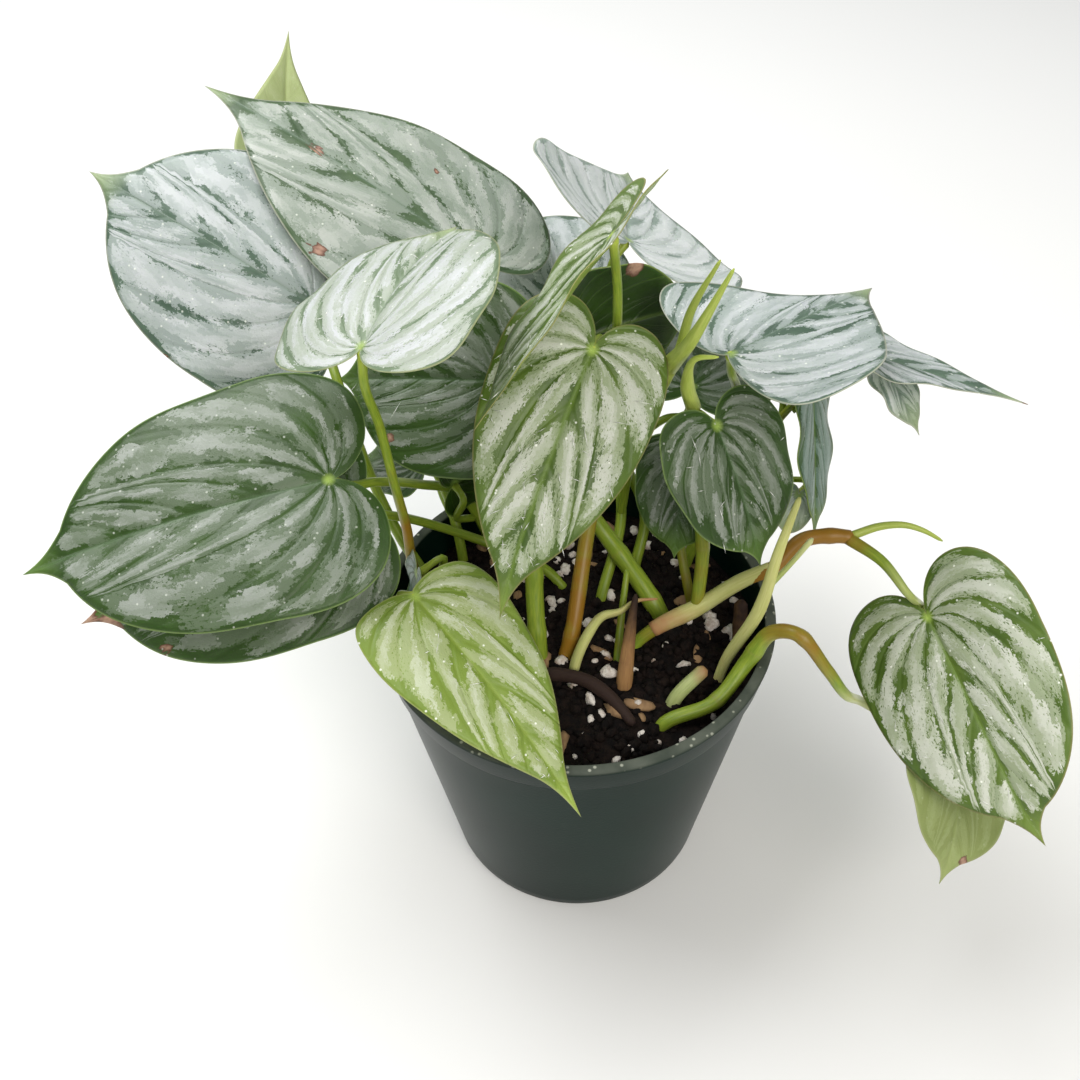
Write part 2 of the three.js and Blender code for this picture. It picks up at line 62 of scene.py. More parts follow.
camera_turn = Matrix((camera_right, camera_up, -ahead)).transposed().to_4x4()
camera.matrix_world = Matrix.Translation((0, -0.215, 0.341)) @ camera_turn
scene.camera = camera
scene.view_settings.view_transform = "Standard"


# The pot is a thin round nursery pot of polypropylene, moulded in one piece. Its wall widens upwards to a
# stiffer band under a turned lip, and six drain holes go through its flat floor.
MM = 0.001
POT_HEIGHT = 94
POT_RIM = 54
POT_BASE = 39
POT_WALL = 1.2
POT_FLOOR = 1.6
POT_BAND_FOOT = 85
POT_BAND_STEP = 0.8
POT_SIDES = 180
DRAIN_HOLES = 6
DRAIN_RADIUS = 4
DRAIN_CIRCLE = 30
DRILL_LENGTH = 8
POT_SLOPE = (POT_RIM - POT_BAND_STEP - POT_BASE) / POT_HEIGHT


def srgb(hex_colour):
    """An sRGB hex colour as the linear one that a shader takes."""
    parts = [int(hex_colour[i:i + 2], 16) / 255 for i in (1, 3, 5)]
    return (*[c / 12.92 if c <= 0.04045 else ((c + 0.055) / 1.055) ** 2.4 for c in parts], 1)


def add_node(material, kind, inputs, output=0, **settings):
    """Adds a shader node of a kind, sets it, fills or links its inputs, and returns one of its outputs."""
    made = material.node_tree.nodes.new("ShaderNode" + kind)
    for name, value in settings.items():
        setattr(made, name, value)
    for socket, value in inputs.items():
        if isinstance(value, bpy.types.NodeSocket):
            material.node_tree.links.new(value, made.inputs[socket])
        else:
            made.inputs[socket].default_value = value
    return made.outputs[output] if len(made.outputs) else None


def new_material(name):
    """A new material, and the place on its piece in metres, by which its patterns are drawn."""
    material = bpy.data.materials.new(name)
    material.use_nodes = True
    material.node_tree.nodes.clear()
    return material, add_node(material, "TexCoord", {}, output="Object")


def recoloured(material, colour, hue, value, first, full, most=1):
    """The colour, turned into hue as the value goes from first to full."""
    share = add_node(material, "MapRange", {
        "Value": value, "From Min": first, "From Max": full, "To Max": most,
    })
    return add_node(material, "Mix", {0: share, 6: colour, 7: hue}, output=2, data_type="RGBA")


def add_piece(name, points, faces, material, replaced=()):
    """A smooth mesh from points in millimetres, fixed to the pot's body."""
    mesh = bpy.data.meshes.new(name)
    mesh.from_pydata([tuple(point) for point in np.asarray(points) * MM], [], faces)
    mesh.polygons.foreach_set("use_smooth", [True] * len(mesh.polygons))
    mesh.materials.append(material)
    piece = bpy.data.objects.new(name, mesh)
    scene.collection.objects.link(piece)
    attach(piece, "root")
    if replaced:
        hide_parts(*replaced)
    return piece


def joined_rings(sides, rings):
    """Faces that join rings of points one after another, and close the first and the last."""
    faces = []
    for ring in range(rings - 1):
        for i in range(sides):
            here = ring * sides + i
            beside = ring * sides + (i + 1) % sides
            faces.append((here, beside, beside + sides, here + sides))
    faces.append(tuple(reversed(range(sides))))
    faces.append(tuple(range((rings - 1) * sides, rings * sides)))
    return faces


def pot_outside(height):
    return POT_BASE + POT_SLOPE * height


def pot_inside(height):
    return pot_outside(height) - POT_WALL


band_foot = pot_outside(POT_BAND_FOOT)
pot_profile = [
    (12, 0.9), (30, 0.9), (35.6, 0.9), (36.4, 0.1), (38.2, 0), (38.8, 0.25), (pot_outside(0.9) + 0.05, 0.9),
    *[(pot_outside(height), height) for height in (4, 20, 40, 60, 75, POT_BAND_FOOT - 1)],
    (band_foot, POT_BAND_FOOT - 0.2), (band_foot + 0.35, POT_BAND_FOOT),
    (band_foot + POT_BAND_STEP - 0.15, POT_BAND_FOOT + 0.15),
    (band_foot + POT_BAND_STEP, POT_BAND_FOOT + 0.6),
    (POT_RIM - 0.12, POT_HEIGHT - 1.2), (POT_RIM, POT_HEIGHT - 0.6), (POT_RIM - 0.2, POT_HEIGHT - 0.15),
    (POT_RIM - 0.6, POT_HEIGHT), (POT_RIM - 2.5, POT_HEIGHT), (POT_RIM - 2.9, POT_HEIGHT - 0.2),
    (POT_RIM - 3, POT_HEIGHT - 0.8), (pot_inside(POT_BAND_FOOT) + 0.1, POT_BAND_FOOT + 0.6),
    (pot_inside(POT_BAND_FOOT), POT_BAND_FOOT - 0.6), (pot_inside(40), 40), (pot_inside(3), 3),
    (pot_inside(2), POT_FLOOR), (30, POT_FLOOR), (12, POT_FLOOR),
]
pot_angles = np.arange(POT_SIDES) * 2 * math.pi / POT_SIDES
pot_points = [(r * math.cos(a), r * math.sin(a), z) for r, z in pot_profile for a in pot_angles]
pot_faces = joined_rings(POT_SIDES, len(pot_profile))

# Moulded polypropylene: an even dark green with a satin sheen, a faint grain from the steel mould, and pale
# soil dust that has settled on the lip and in patches on the wall.
polypropylene, place = new_material("moulded_polypropylene")
height = add_node(polypropylene, "SeparateXYZ", {0: place}, output="Z")
dust_patches = add_node(polypropylene, "TexNoise", {"Vector": place, "Scale": 130, "Detail": 5})
lip_dust = add_node(polypropylene, "MapRange", {
    "Value": height, "From Min": 0.0932, "From Max": 0.0942, "To Max": 0.5,
})
wall_dust = add_node(polypropylene, "MapRange", {
    "Value": dust_patches, "From Min": 0.6, "From Max": 0.85, "To Max": 0.02,
})
grit = add_node(polypropylene, "TexVoronoi", {"Vector": place, "Scale": 420})
grit = add_node(polypropylene, "MapRange", {
    "Value": grit, "From Min": 0.12, "From Max": 0.22, "To Min": 1.8, "To Max": 0,
})
lip_grit = add_node(polypropylene, "Math", {0: dust_patches, 1: grit}, operation="ADD")
dust = add_node(polypropylene, "Math", {0: lip_dust, 1: lip_grit}, operation="MULTIPLY")
dust = add_node(polypropylene, "Math", {0: dust, 1: wall_dust}, operation="MAXIMUM")
pot_green = add_node(polypropylene, "Mix", {
    0: add_node(polypropylene, "TexNoise", {"Vector": place, "Scale": 28, "Detail": 2}),
    6: srgb("#071611"), 7: srgb("#0f2820"),
}, output=2, data_type="RGBA")
pot_colour = add_node(polypropylene, "Mix", {
    0: dust, 6: pot_green, 7: srgb("#a3a697"),
}, output=2, data_type="RGBA")
pot_roughness = add_node(polypropylene, "MapRange", {"Value": dust, "To Min": 0.3, "To Max": 0.7})
mould_grain = add_node(polypropylene, "TexNoise", {"Vector": place, "Scale": 1400, "Detail": 2})
pot_bump = add_node(polypropylene, "Bump", {"Height": mould_grain, "Strength": 0.25, "Distance": 0.0001})
pot_shader = add_node(polypropylene, "BsdfPrincipled", {
    "Base Color": pot_colour, "Roughness": pot_roughness, "IOR": 1.49, "Specular IOR Level": 0.07,
    "Normal": pot_bump,
})
add_node(polypropylene, "OutputMaterial", {"Surface": pot_shader})

pot = add_piece("nursery_pot", pot_points, pot_faces, polypropylene, ["pot"])
drill_mesh = bpy.data.meshes.new("drain_drill")
drill_bmesh = bmesh.new()
for hole in range(DRAIN_HOLES):
    angle = 2 * math.pi * hole / DRAIN_HOLES
    spot = (DRAIN_CIRCLE * MM * math.cos(angle), DRAIN_CIRCLE * MM * math.sin(angle), 0)
    bmesh.ops.create_cone(
        drill_bmesh, cap_ends=True, segments=40, radius1=DRAIN_RADIUS * MM, radius2=DRAIN_RADIUS * MM,
        depth=DRILL_LENGTH * MM, matrix=Matrix.Translation(spot),
    )
drill_bmesh.to_mesh(drill_mesh)
drill_bmesh.free()
drill = bpy.data.objects.new("drain_drill", drill_mesh)
scene.collection.objects.link(drill)
cut = pot.modifiers.new("drain holes", "BOOLEAN")
cut.object = drill
cut.operation = "DIFFERENCE"
bpy.context.view_layer.update()
drilled = bpy.data.meshes.new_from_object(pot.evaluated_get(bpy.context.evaluated_depsgraph_get()))
pot.modifiers.clear()
pot.data = drilled
bpy.data.objects.remove(drill)
pot.data.set_sharp_from_angle(angle=math.radians(50))


# The soil is a damp, nearly black potting mix of peat and composted bark with white perlite in it. It fills
# the pot to about 12 mm below the lip, and its top is loose crumbs that lie as they fell.
SOIL_LEVEL = 82
SOIL_SWELL = 1.5
SOIL_RINGS = 60
SOIL_SIDES = 180
SOIL_FOOT = 2
SOIL_GAP = 0.35
LUMP_SIZE = 9
LUMP_HEIGHT = 1
CRUMB_SIZE = 2.5
CRUMB_HEIGHT = 0.6
soil_radius = pot_inside(SOIL_LEVEL) - SOIL_GAP
dice = np.random.default_rng(21)


def soil_top(x, y):
    """Height of the soil's top: a low dome with lumps and crumbs on it."""
    dome = SOIL_LEVEL + SOIL_SWELL * (1 - (x * x + y * y) / soil_radius ** 2)
    lumps = noise.noise(Vector((x / LUMP_SIZE, y / LUMP_SIZE, 3)))
    crumbs = noise.noise(Vector((x / CRUMB_SIZE, y / CRUMB_SIZE, 9)))
    return dome + LUMP_HEIGHT * lumps + CRUMB_HEIGHT * crumbs


soil_points = [(0, 0, soil_top(0, 0))]
for ring in range(1, SOIL_RINGS + 1):
    for side in range(SOIL_SIDES):
        angle = 2 * math.pi * side / SOIL_SIDES
        x = soil_radius * ring / SOIL_RINGS * math.cos(angle)
        y = soil_radius * ring / SOIL_RINGS * math.sin(angle)
        soil_points.append((x, y, soil_top(x, y)))
for side in range(SOIL_SIDES):
    angle = 2 * math.pi * side / SOIL_SIDES
    foot_radius = pot_inside(SOIL_FOOT) - SOIL_GAP
    soil_points.append((foot_radius * math.cos(angle), foot_radius * math.sin(angle), SOIL_FOOT))
soil_faces = []
for side in range(SOIL_SIDES):
    beside = (side + 1) % SOIL_SIDES
    soil_faces.append((0, 1 + side, 1 + beside))
    for ring in range(SOIL_RINGS):
        inner = 1 + ring * SOIL_SIDES
        outer = inner + SOIL_SIDES
        soil_faces.append((inner + side, outer + side, outer + beside, inner + beside))
soil_faces.append(tuple(reversed(range(len(soil_points) - SOIL_SIDES, len(soil_points)))))

# Damp potting mix: almost black peat with brown fibres and matt crumbs of many sizes, and hardly any shine.
potting_mix, place = new_material("damp_potting_mix")
crumb_tone = add_node(potting_mix, "TexNoise", {"Vector": place, "Scale": 320, "Detail": 6, "Roughness": 0.7})
mix_colour = recoloured(potting_mix, srgb("#070403"), srgb("#241812"), crumb_tone, 0.42, 0.72)
crumb_cells = add_node(potting_mix, "TexVoronoi", {"Vector": place, "Scale": 700})
mix_bump = add_node(potting_mix, "Bump", {"Height": crumb_cells, "Strength": 0.8, "Distance": 0.0006})
mix_shader = add_node(potting_mix, "BsdfPrincipled", {
    "Base Color": mix_colour, "Roughness": 0.9, "Specular IOR Level": 0.2, "Normal": mix_bump,
})
add_node(potting_mix, "OutputMaterial", {"Surface": mix_shader})
add_piece("potting_soil", soil_points, soil_faces, potting_mix, ["soil"])


GRAIN_SPREAD = 0.94
FEW_LARGE = 2.2
KNOBBLE = 0.13
PITTING = 0.06
GRAIN_TILT = 0.35


def grain_bed(name, count, sizes, stretch, depth, fineness, material):
    """Many irregular grains half sunk in the soil: sizes in mm, stretch along their three axes."""
    ball = bmesh.new()
    bmesh.ops.create_icosphere(ball, subdivisions=fineness, radius=1)
    base = np.array([v.co for v in ball.verts])
    base_faces = np.array([[v.index for v in f.verts] for f in ball.faces])
    ball.free()
    points = []
    faces = []
    for i in range(count):
        size = sizes[0] + (sizes[1] - sizes[0]) * dice.random() ** FEW_LARGE
        lobes = dice.normal(size=(4, 3))
        knobs = sum(np.sin(base @ lobe * 2.3 + 4 * lobe[0]) for lobe in lobes)
        grain = base * (1 + KNOBBLE * knobs + PITTING * dice.normal(size=len(base)))[:, None]
        grain = grain * np.array(stretch) * size * (0.8 + 0.4 * dice.random(3))
        heading = Matrix.Rotation(dice.random() * 2 * math.pi, 3, "Z")
        turn = heading @ Matrix.Rotation(dice.normal() * GRAIN_TILT, 3, "X")
        grain = grain @ np.array(turn).T
        radius = (soil_radius - size * max(stretch)) * (GRAIN_SPREAD * dice.random()) ** 0.5
        angle = dice.random() * 2 * math.pi
        x = radius * math.cos(angle)
        y = radius * math.sin(angle)
        grain = grain + np.array((x, y, soil_top(x, y) + size * stretch[2] * depth))
        faces.extend((base_faces + len(base) * i).tolist())
        points.append(grain)
    add_piece(name, np.vstack(points), faces, material)


grain_bed("soil_crumbs", 1500, (0.5, 2.0), (1, 1, 0.75), 0.3, 1, potting_mix)

# Expanded perlite: white volcanic glass puffed to a chalky foam, dusted brown by the peat around it.
perlite, place = new_material("expanded_perlite")
perlite_stain = add_node(perlite, "TexNoise", {"Vector": place, "Scale": 420, "Detail": 5})
perlite_colour = recoloured(perlite, srgb("#e3dcd3"), srgb("#8f7460"), perlite_stain, 0.45, 0.75)
perlite_pores = add_node(perlite, "TexVoronoi", {"Vector": place, "Scale": 2200})
perlite_bump = add_node(perlite, "Bump", {"Height": perlite_pores, "Strength": 0.7, "Distance": 0.0003})
perlite_shader = add_node(perlite, "BsdfPrincipled", {
    "Base Color": perlite_colour, "Roughness": 0.85, "Normal": perlite_bump,
})
add_node(perlite, "OutputMaterial", {"Surface": perlite_shader})
grain_bed("perlite_grains", 130, (0.8, 2.1), (1, 0.9, 0.8), 0.35, 2, perlite)

# Pine bark chips: flat reddish-tan flakes with a split, fibrous face.
bark_chip, place = new_material("pine_bark_chip")
bark_place = add_node(bark_chip, "VectorMath", {0: place, 1: (1, 0.25, 1)}, operation="MULTIPLY")
bark_grain = add_node(bark_chip, "TexNoise", {"Vector": bark_place, "Scale": 900, "Detail": 5})
bark_colour = add_node(bark_chip, "Mix", {
    0: bark_grain, 6: srgb("#4a2d1c"), 7: srgb("#b59368"),
}, output=2, data_type="RGBA")
bark_bump = add_node(bark_chip, "Bump", {"Height": bark_grain, "Strength": 0.5, "Distance": 0.0003})
bark_shader = add_node(bark_chip, "BsdfPrincipled", {
    "Base Color": bark_colour, "Roughness": 0.85, "Normal": bark_bump,
})
add_node(bark_chip, "OutputMaterial", {"Surface": bark_shader})
grain_bed("bark_chips", 34, (1.2, 2.8), (1.5, 0.8, 0.35), 0.8, 2, bark_chip)


# The leaves are thin leathery blades, silver between the veins where air lies under the skin and green along
# them. Each is an arc from the stalk to a drawn-out tip, folded along its midrib and curled at the margin.
LEAF_STEPS = 84
LEAF_RINGS = 24
EDGE_WAVE = 0.8
EDGE_WAVES = 2.3
BLADE_MIDDLE = 0.42
BLADE_MARGIN = 0.2
TAPER_WIDTH = 5
SWELL_HEIGHT = 0.28
GROOVE_DEPTH = 0.3
GROOVE_WIDTH = 0.9
RIDGE_HEIGHT = 0.55
RIDGE_WIDTH = 0.7
VEIN_SPACING = 0.21
VEIN_ANGLE = 38
VEIN_CURVE = 1.5
VEIN_FAN = 36
JOINT_GREEN = "#a9c45a"


def leaf(name, age, at, turns, size, bends, full=1, lobes=0.17, hook=0, spots=(), neck=6):
    heading, dip, roll = turns
    length, width = size
    droop, fold_left, fold_right, curl = bends
    return {
        "name": name, "age": age, "at": np.array(at, float), "heading": heading, "dip": dip, "roll": roll,
        "length": length, "width": width, "droop": math.radians(droop),
        "fold": (math.radians(fold_left), math.radians(fold_right)), "curl": math.radians(curl),
        "full": full, "lobes": lobes, "hook": hook, "spots": spots, "neck": neck,
    }


LEAVES = [
    leaf("leaf_left", "mature", (-61, 1, 140), (-169, 13, -25), (82, 66), (25, 8, 8, 20), lobes=0.14),
    leaf("leaf_left_under", "mature", (-61, 5, 124), (-166, 18, -30), (76, 60), (20, 8, 8, 20), lobes=0.14,
         spots=((0.99, -0.08, 5), (0.89, 0.12, 4), (0.71, 0.55, 1.5))),
    leaf("leaf_back_left", "old", (-73, 62, 150), (158, -22, -40), (72, 70), (20, 5, -12, 15),
         spots=((0.5, 0.95, 1.8), (0.38, 0.97, 1.4), (0.7, 0.85, 1.2))),
    leaf("leaf_top_left", "sage", (-28, 80, 152), (155, -22, -20), (94, 70), (21, 7, -15, 3), full=0.35,
         spots=((0.58, 0.01, 1.7), (0.38, 0.78, 2.1), (0.27, -0.53, 1))),
    leaf("leaf_young_left", "palest", (-48, 3, 179), (68, -3, -10), (50, 60), (32, 2, 22, 28), lobes=0.15),
    leaf("leaf_mid_left", "mature", (-22, 35, 144), (166, 10, -43), (46, 54), (20, 6, 12, 12), lobes=0.25,
         spots=((0.59, 0.6, 1.5),)),
    leaf("leaf_centre_high", "young", (8, 19, 197), (-135, 35, 43), (53, 38), (5, 4, 4, -10), lobes=0.3,
         neck=0),
    leaf("leaf_front", "young", (4, 16, 168), (-119, 44, -16), (69, 44), (30, -7, 16, 26), full=0.4,
         lobes=0.15, hook=1.5),
    leaf("leaf_small_right", "mature", (35, 14, 146), (-55, 56, 0), (39, 38), (20, 8, 8, 20)),
    leaf("leaf_small_right_under", "mature", (29, 23, 128), (-100, 66, 0), (30, 26), (20, 8, 8, 20)),
    leaf("leaf_right", "old", (37, 17, 166), (40, 5, 36), (53, 70), (32, -60, 31, -40), full=-0.2, lobes=0.06,
         neck=0),
    leaf("leaf_far_right", "old", (73.5, 36, 152), (-11, 14, -18), (45, 30), (2, 9, 2, 4), full=-0.5,
         lobes=0.05, spots=((1, 0, 2),)),
    leaf("leaf_right_low", "faded", (80, 39.5, 146), (-50, 42, -8), (22, 16), (16, 5, 8, 12), lobes=0.08),
    leaf("leaf_top_right", "faded", (14.4, 73.5, 162), (88, 10, 37), (55, 72), (-4, 3, 9, -8), full=-0.3,
         lobes=0.26),
    leaf("leaf_centre_back", "shaded", (1.5, 45, 150), (20, -4, -95), (35, 38), (20, 6, 6, 15), lobes=0.3,
         spots=((0.49, -0.83, 2.6),)),
    leaf("leaf_back_centre", "old", (-4, 80, 133), (110, -5, -20), (50, 50), (30, 6, 6, 15)),
    leaf("leaf_back_low", "mature", (-22, 70, 122), (115, 20, 0), (54, 50), (30, 6, 6, 15)),
    leaf("leaf_back_right", "mature", (34, 62, 120), (70, 10, 0), (52, 48), (30, 6, 6, 15)),
    leaf("leaf_back_upright", "lime", (-84, 108, 150), (98, -23, 44), (73, 42), (-25, 4, 17, 10), full=-0.1,
         lobes=0.05),
    leaf("leaf_right_hanging", "shaded", (63, 37, 138), (-87, 52, -55), (40, 26), (6, 8, 12, 20), lobes=0.06,
         spots=((0.17, 0.95, 1.3),)),
    leaf("leaf_right_small", "faded", (61, 24, 113), (-115, 50, 0), (13, 11), (15, 10, 10, 10)),
    leaf("leaf_inner_left", "mature", (-47, 51, 100), (140, 24, -30), (28, 24), (15, 8, 8, 15)),
    leaf("leaf_inner_turned", "shaded", (-34, 29, 112), (50, 2, -100), (30, 22), (15, 8, 8, 15)),
    leaf("leaf_inner_low", "shaded", (-42, -1, 108), (-100, 80, 60), (24, 18), (15, 8, 8, 15)),
    leaf("leaf_front_left", "newest", (-40, -18, 118), (-47, 26, 0), (68, 40), (30, 8, 8, 25), full=0.2,
         lobes=0.05),
    leaf("leaf_trailing", "silvery", (92, -9, 100), (-65, 28, 29), (64, 52), (35, 34, -8, 24), lobes=0.18,
         hook=1.5),
    leaf("leaf_trailing_under", "plain", (102.4, -23, 67.5), (-101, 28, -37), (41, 37), (46, 15, 4, 14),
         lobes=0.06, spots=((0.82, 0.24, 1.2),)),
]
leaf_named = {one["name"]: one for one in LEAVES}


def half_outline(full, lobes):
    """One half of a blade's outline: blade lengths along the midrib, half widths out from it."""
    legs = [
        ((-0.02, 0), (-0.6 * lobes, 0.04), (-1.2 * lobes, 0.24), (-lobes, 0.58)),
        ((-lobes, 0.58), (-0.8 * lobes, 0.86), (-0.02, 1.02), (0.18 + 0.04 * full, 0.98)),
        ((0.18 + 0.04 * full, 0.98), (0.42 + 0.12 * full, 0.91 + 0.06 * full),
         (0.6 + 0.14 * full, 0.53 + 0.15 * full), (0.78 + 0.06 * full, 0.22)),
        ((0.78 + 0.06 * full, 0.22), (0.86 + 0.04 * full, 0.07), (0.94, 0.03), (1, 0)),
    ]
    t = np.linspace(0, 1, 120)[:, None]
    dense = np.vstack([
        (1 - t) ** 3 * np.array(a) + 3 * (1 - t) ** 2 * t * np.array(b)
        + 3 * (1 - t) * t ** 2 * np.array(c) + t ** 3 * np.array(d)
        for a, b, c, d in legs
    ])
    reach = np.concatenate([[0], np.cumsum(np.hypot(*np.diff(dense, axis=0).T))])
    even = np.linspace(0, reach[-1], LEAF_STEPS + 1)
    return np.column_stack([np.interp(even, reach, dense[:, i]) for i in (0, 1)])


def blade_axes(one):
    """The blade's own axes: forward to the tip, left across it and up out of its upper face."""
    heading, dip, roll = (math.radians(one[key]) for key in ("heading", "dip", "roll"))
    turn = Matrix.Rotation(heading, 3, "Z") @ Matrix.Rotation(dip, 3, "Y") @ Matrix.Rotation(roll, 3, "X")
    return np.array(turn).T


def arc_end(length, start, turn):
    """The end of an arc of this length that sets off at the angle start and turns by turn."""
    turn = np.where(np.abs(turn) < 1e-6, 1e-6, turn)
    radius = length / turn
    end = start + turn
    return radius * (np.sin(end) - np.sin(start)), radius * (np.cos(start) - np.cos(end))


def blade_surface(one, along, across):
    """Points of the blade's middle surface."""
    forward, left, up = blade_axes(one)
    out = np.abs(across)
    side = np.sign(across)
    fold = np.where(across > 0, one["fold"][0], one["fold"][1])
    ahead, rise = arc_end(one["length"] * along, one["droop"] / 2, -one["droop"] * along)
    outward, lift = arc_end(out * one["width"] / 2, fold, -one["curl"] * out)
    slope = one["droop"] * (0.5 - along)
    wave = EDGE_WAVE * out ** 2 * np.sin(2 * math.pi * EDGE_WAVES * along + one["at"][0] + 2 * side)
    tip = np.maximum(0, (along - 0.7) / 0.3) ** 2
    height = lift + wave
    return (
        one["at"]
        + np.outer(ahead - height * np.sin(slope), forward)
        + np.outer(rise + height * np.cos(slope), up)
        + np.outer(side * outward + one["hook"] * tip, left)
    )


def vein_phase(one, along, across):
    """Which vein a point is at, a whole number on each vein, and how far along it, in blade lengths.

    Side veins leave the midrib at one angle and bend towards the tip. Below the stalk they fan out."""
    out = np.abs(across) * one["width"] / 2 / one["length"]
    starts = np.linspace(0, 1.1, 150)
    ahead = along[:, None] - starts[None, :]
    distance = np.hypot(ahead, out[:, None])
    angle = np.degrees(np.arctan2(out[:, None], ahead)) * np.exp(VEIN_CURVE * distance)
    passed = angle >= VEIN_ANGLE
    first = np.argmax(passed, axis=1)
    basal = passed[:, 0]
    before = np.maximum(first - 1, 0)
    rows = np.arange(len(along))
    low = angle[rows, before]
    high = angle[rows, first]
    part = np.clip((VEIN_ANGLE - low) / np.maximum(high - low, 1e-6), 0, 1)
    start = starts[before] + part * (starts[first] - starts[before])
    phase = np.where(basal, -(angle[:, 0] - VEIN_ANGLE) / VEIN_FAN, start / VEIN_SPACING)
    travelled = np.hypot(along - np.where(basal, 0, start), out)
    return phase, travelled


def set_fields(piece, fields):
    """Gives a piece three numbers at each point under each name, for its material to read."""
    for name, values in fields.items():
        attribute = piece.data.attributes.new(name, "FLOAT_VECTOR", "POINT")
        attribute.data.foreach_set("vector", values.astype(np.float32).ravel())


def make_blade(one, material, look):
    """Both faces of a blade in rings around where the stalk meets it, thin at the margin."""
    half = half_outline(one["full"], one["lobes"])
    rim = np.vstack([half, half[-2:0:-1] * (1, -1)])
    count = len(rim)
    rings = np.linspace(0, 1, LEAF_RINGS + 1)[1:]
    flat = np.vstack([[[0, 0]], *[rim * ring for ring in rings]])
    along = flat[:, 0]
    across = flat[:, 1]
    side = np.where(across < 0, -1.0, 1.0)
    step = 1e-4
    middle = blade_surface(one, along, across)
    ahead = blade_surface(one, along + step, across) - blade_surface(one, along - step, across)
    inward = np.where(np.abs(across) < step, 0, across - side * step)
    outward = np.where(np.abs(across) < step, side * step, across + side * step)
    sideways = (blade_surface(one, along, outward) - blade_surface(one, along, inward)) * side[:, None]
    normal = np.cross(ahead, sideways)
    normal /= np.maximum(np.linalg.norm(normal, axis=1), 1e-12)[:, None]
    on_midrib = np.abs(across) < 1e-9
    normal[on_midrib] = np.cross(ahead[on_midrib], np.cross(blade_axes(one)[2], ahead[on_midrib]))
    normal[on_midrib] /= np.linalg.norm(normal[on_midrib], axis=1)[:, None]
    phase, travelled = vein_phase(one, along, across)
    flat_mm = flat * (one["length"], one["width"] / 2)
    rim_mm = rim * (one["length"], one["width"] / 2)
    to_rim = np.min(np.linalg.norm(flat_mm[:, None] - rim_mm[None], axis=2), axis=1)
    to_midrib = np.abs(flat_mm[:, 1])
    to_stalk = np.linalg.norm(flat_mm, axis=1)
    inside = np.clip(to_rim / TAPER_WIDTH, 0, 1)
    swell = (np.sin(math.pi * phase) ** 2 - 0.5) * np.clip(to_midrib / 4, 0, 1)
    quilt = SWELL_HEIGHT * look["relief"] * inside * swell
    groove = GROOVE_DEPTH * np.exp(-(to_midrib / GROOVE_WIDTH) ** 2) * inside * (along > 0)
    thickness = BLADE_MARGIN + (BLADE_MIDDLE - BLADE_MARGIN) * inside
    ridge = RIDGE_HEIGHT * np.exp(-(to_midrib / RIDGE_WIDTH) ** 2) * inside
    ridge = ridge * np.clip(1.15 - along, 0, 1) * (along > -0.02)
    upper = middle + normal * (thickness / 2 + quilt - groove)[:, None]
    lower = middle + normal * (quilt - thickness / 2 - ridge)[:, None]
    faces = []
    total = len(flat)
    for i in range(count):
        beside = (i + 1) % count
        faces.append((0, 1 + beside, 1 + i))
        faces.append((total, total + 1 + i, total + 1 + beside))
        for ring in range(LEAF_RINGS - 1):
            inner = 1 + ring * count
            outer = inner + count
            quad = (inner + i, inner + beside, outer + beside, outer + i)
            faces.append(quad)
            faces.append(tuple(total + corner for corner in reversed(quad)))
        edge = total - count
        faces.append((edge + i, edge + beside, total + edge + beside, total + edge + i))
    points = np.vstack([upper, lower])
    piece = add_piece(one["name"] + "_blade", points, faces, material, [one["name"]])
    seed = one["at"][0] % 7 + one["at"][1] % 5
    damage = np.zeros(total)
    for spot_along, spot_across, spot_radius in one["spots"]:
        spot_mm = np.array((spot_along * one["length"], spot_across * one["width"] / 2))
        distance = np.linalg.norm(flat_mm - spot_mm, axis=1)
        damage = np.maximum(damage, np.clip(1.5 - distance / spot_radius, 0, 1))
    to_tip = np.clip(1 - along, 0, 1) * one["length"]
    upper_face = {
        "vein": np.column_stack([phase * side, travelled * one["length"], np.full(total, seed)]),
        "reach": np.column_stack([to_rim, to_midrib, to_stalk]),
        "skin": np.column_stack([np.zeros(total), damage, to_tip]),
    }
    lower_face = {**upper_face, "skin": upper_face["skin"] + (1, 0, 0)}
    set_fields(piece, {name: np.vstack([upper_face[name], lower_face[name]]) for name in upper_face})


def pushed(material, pattern, strength, value):
    """The value pushed up and down by a pattern that runs from 0 to 1."""
    swing = add_node(material, "Math", {0: pattern, 1: 0.5}, operation="SUBTRACT")
    return add_node(material, "Math", {0: swing, 1: strength, 2: value}, operation="MULTIPLY_ADD")


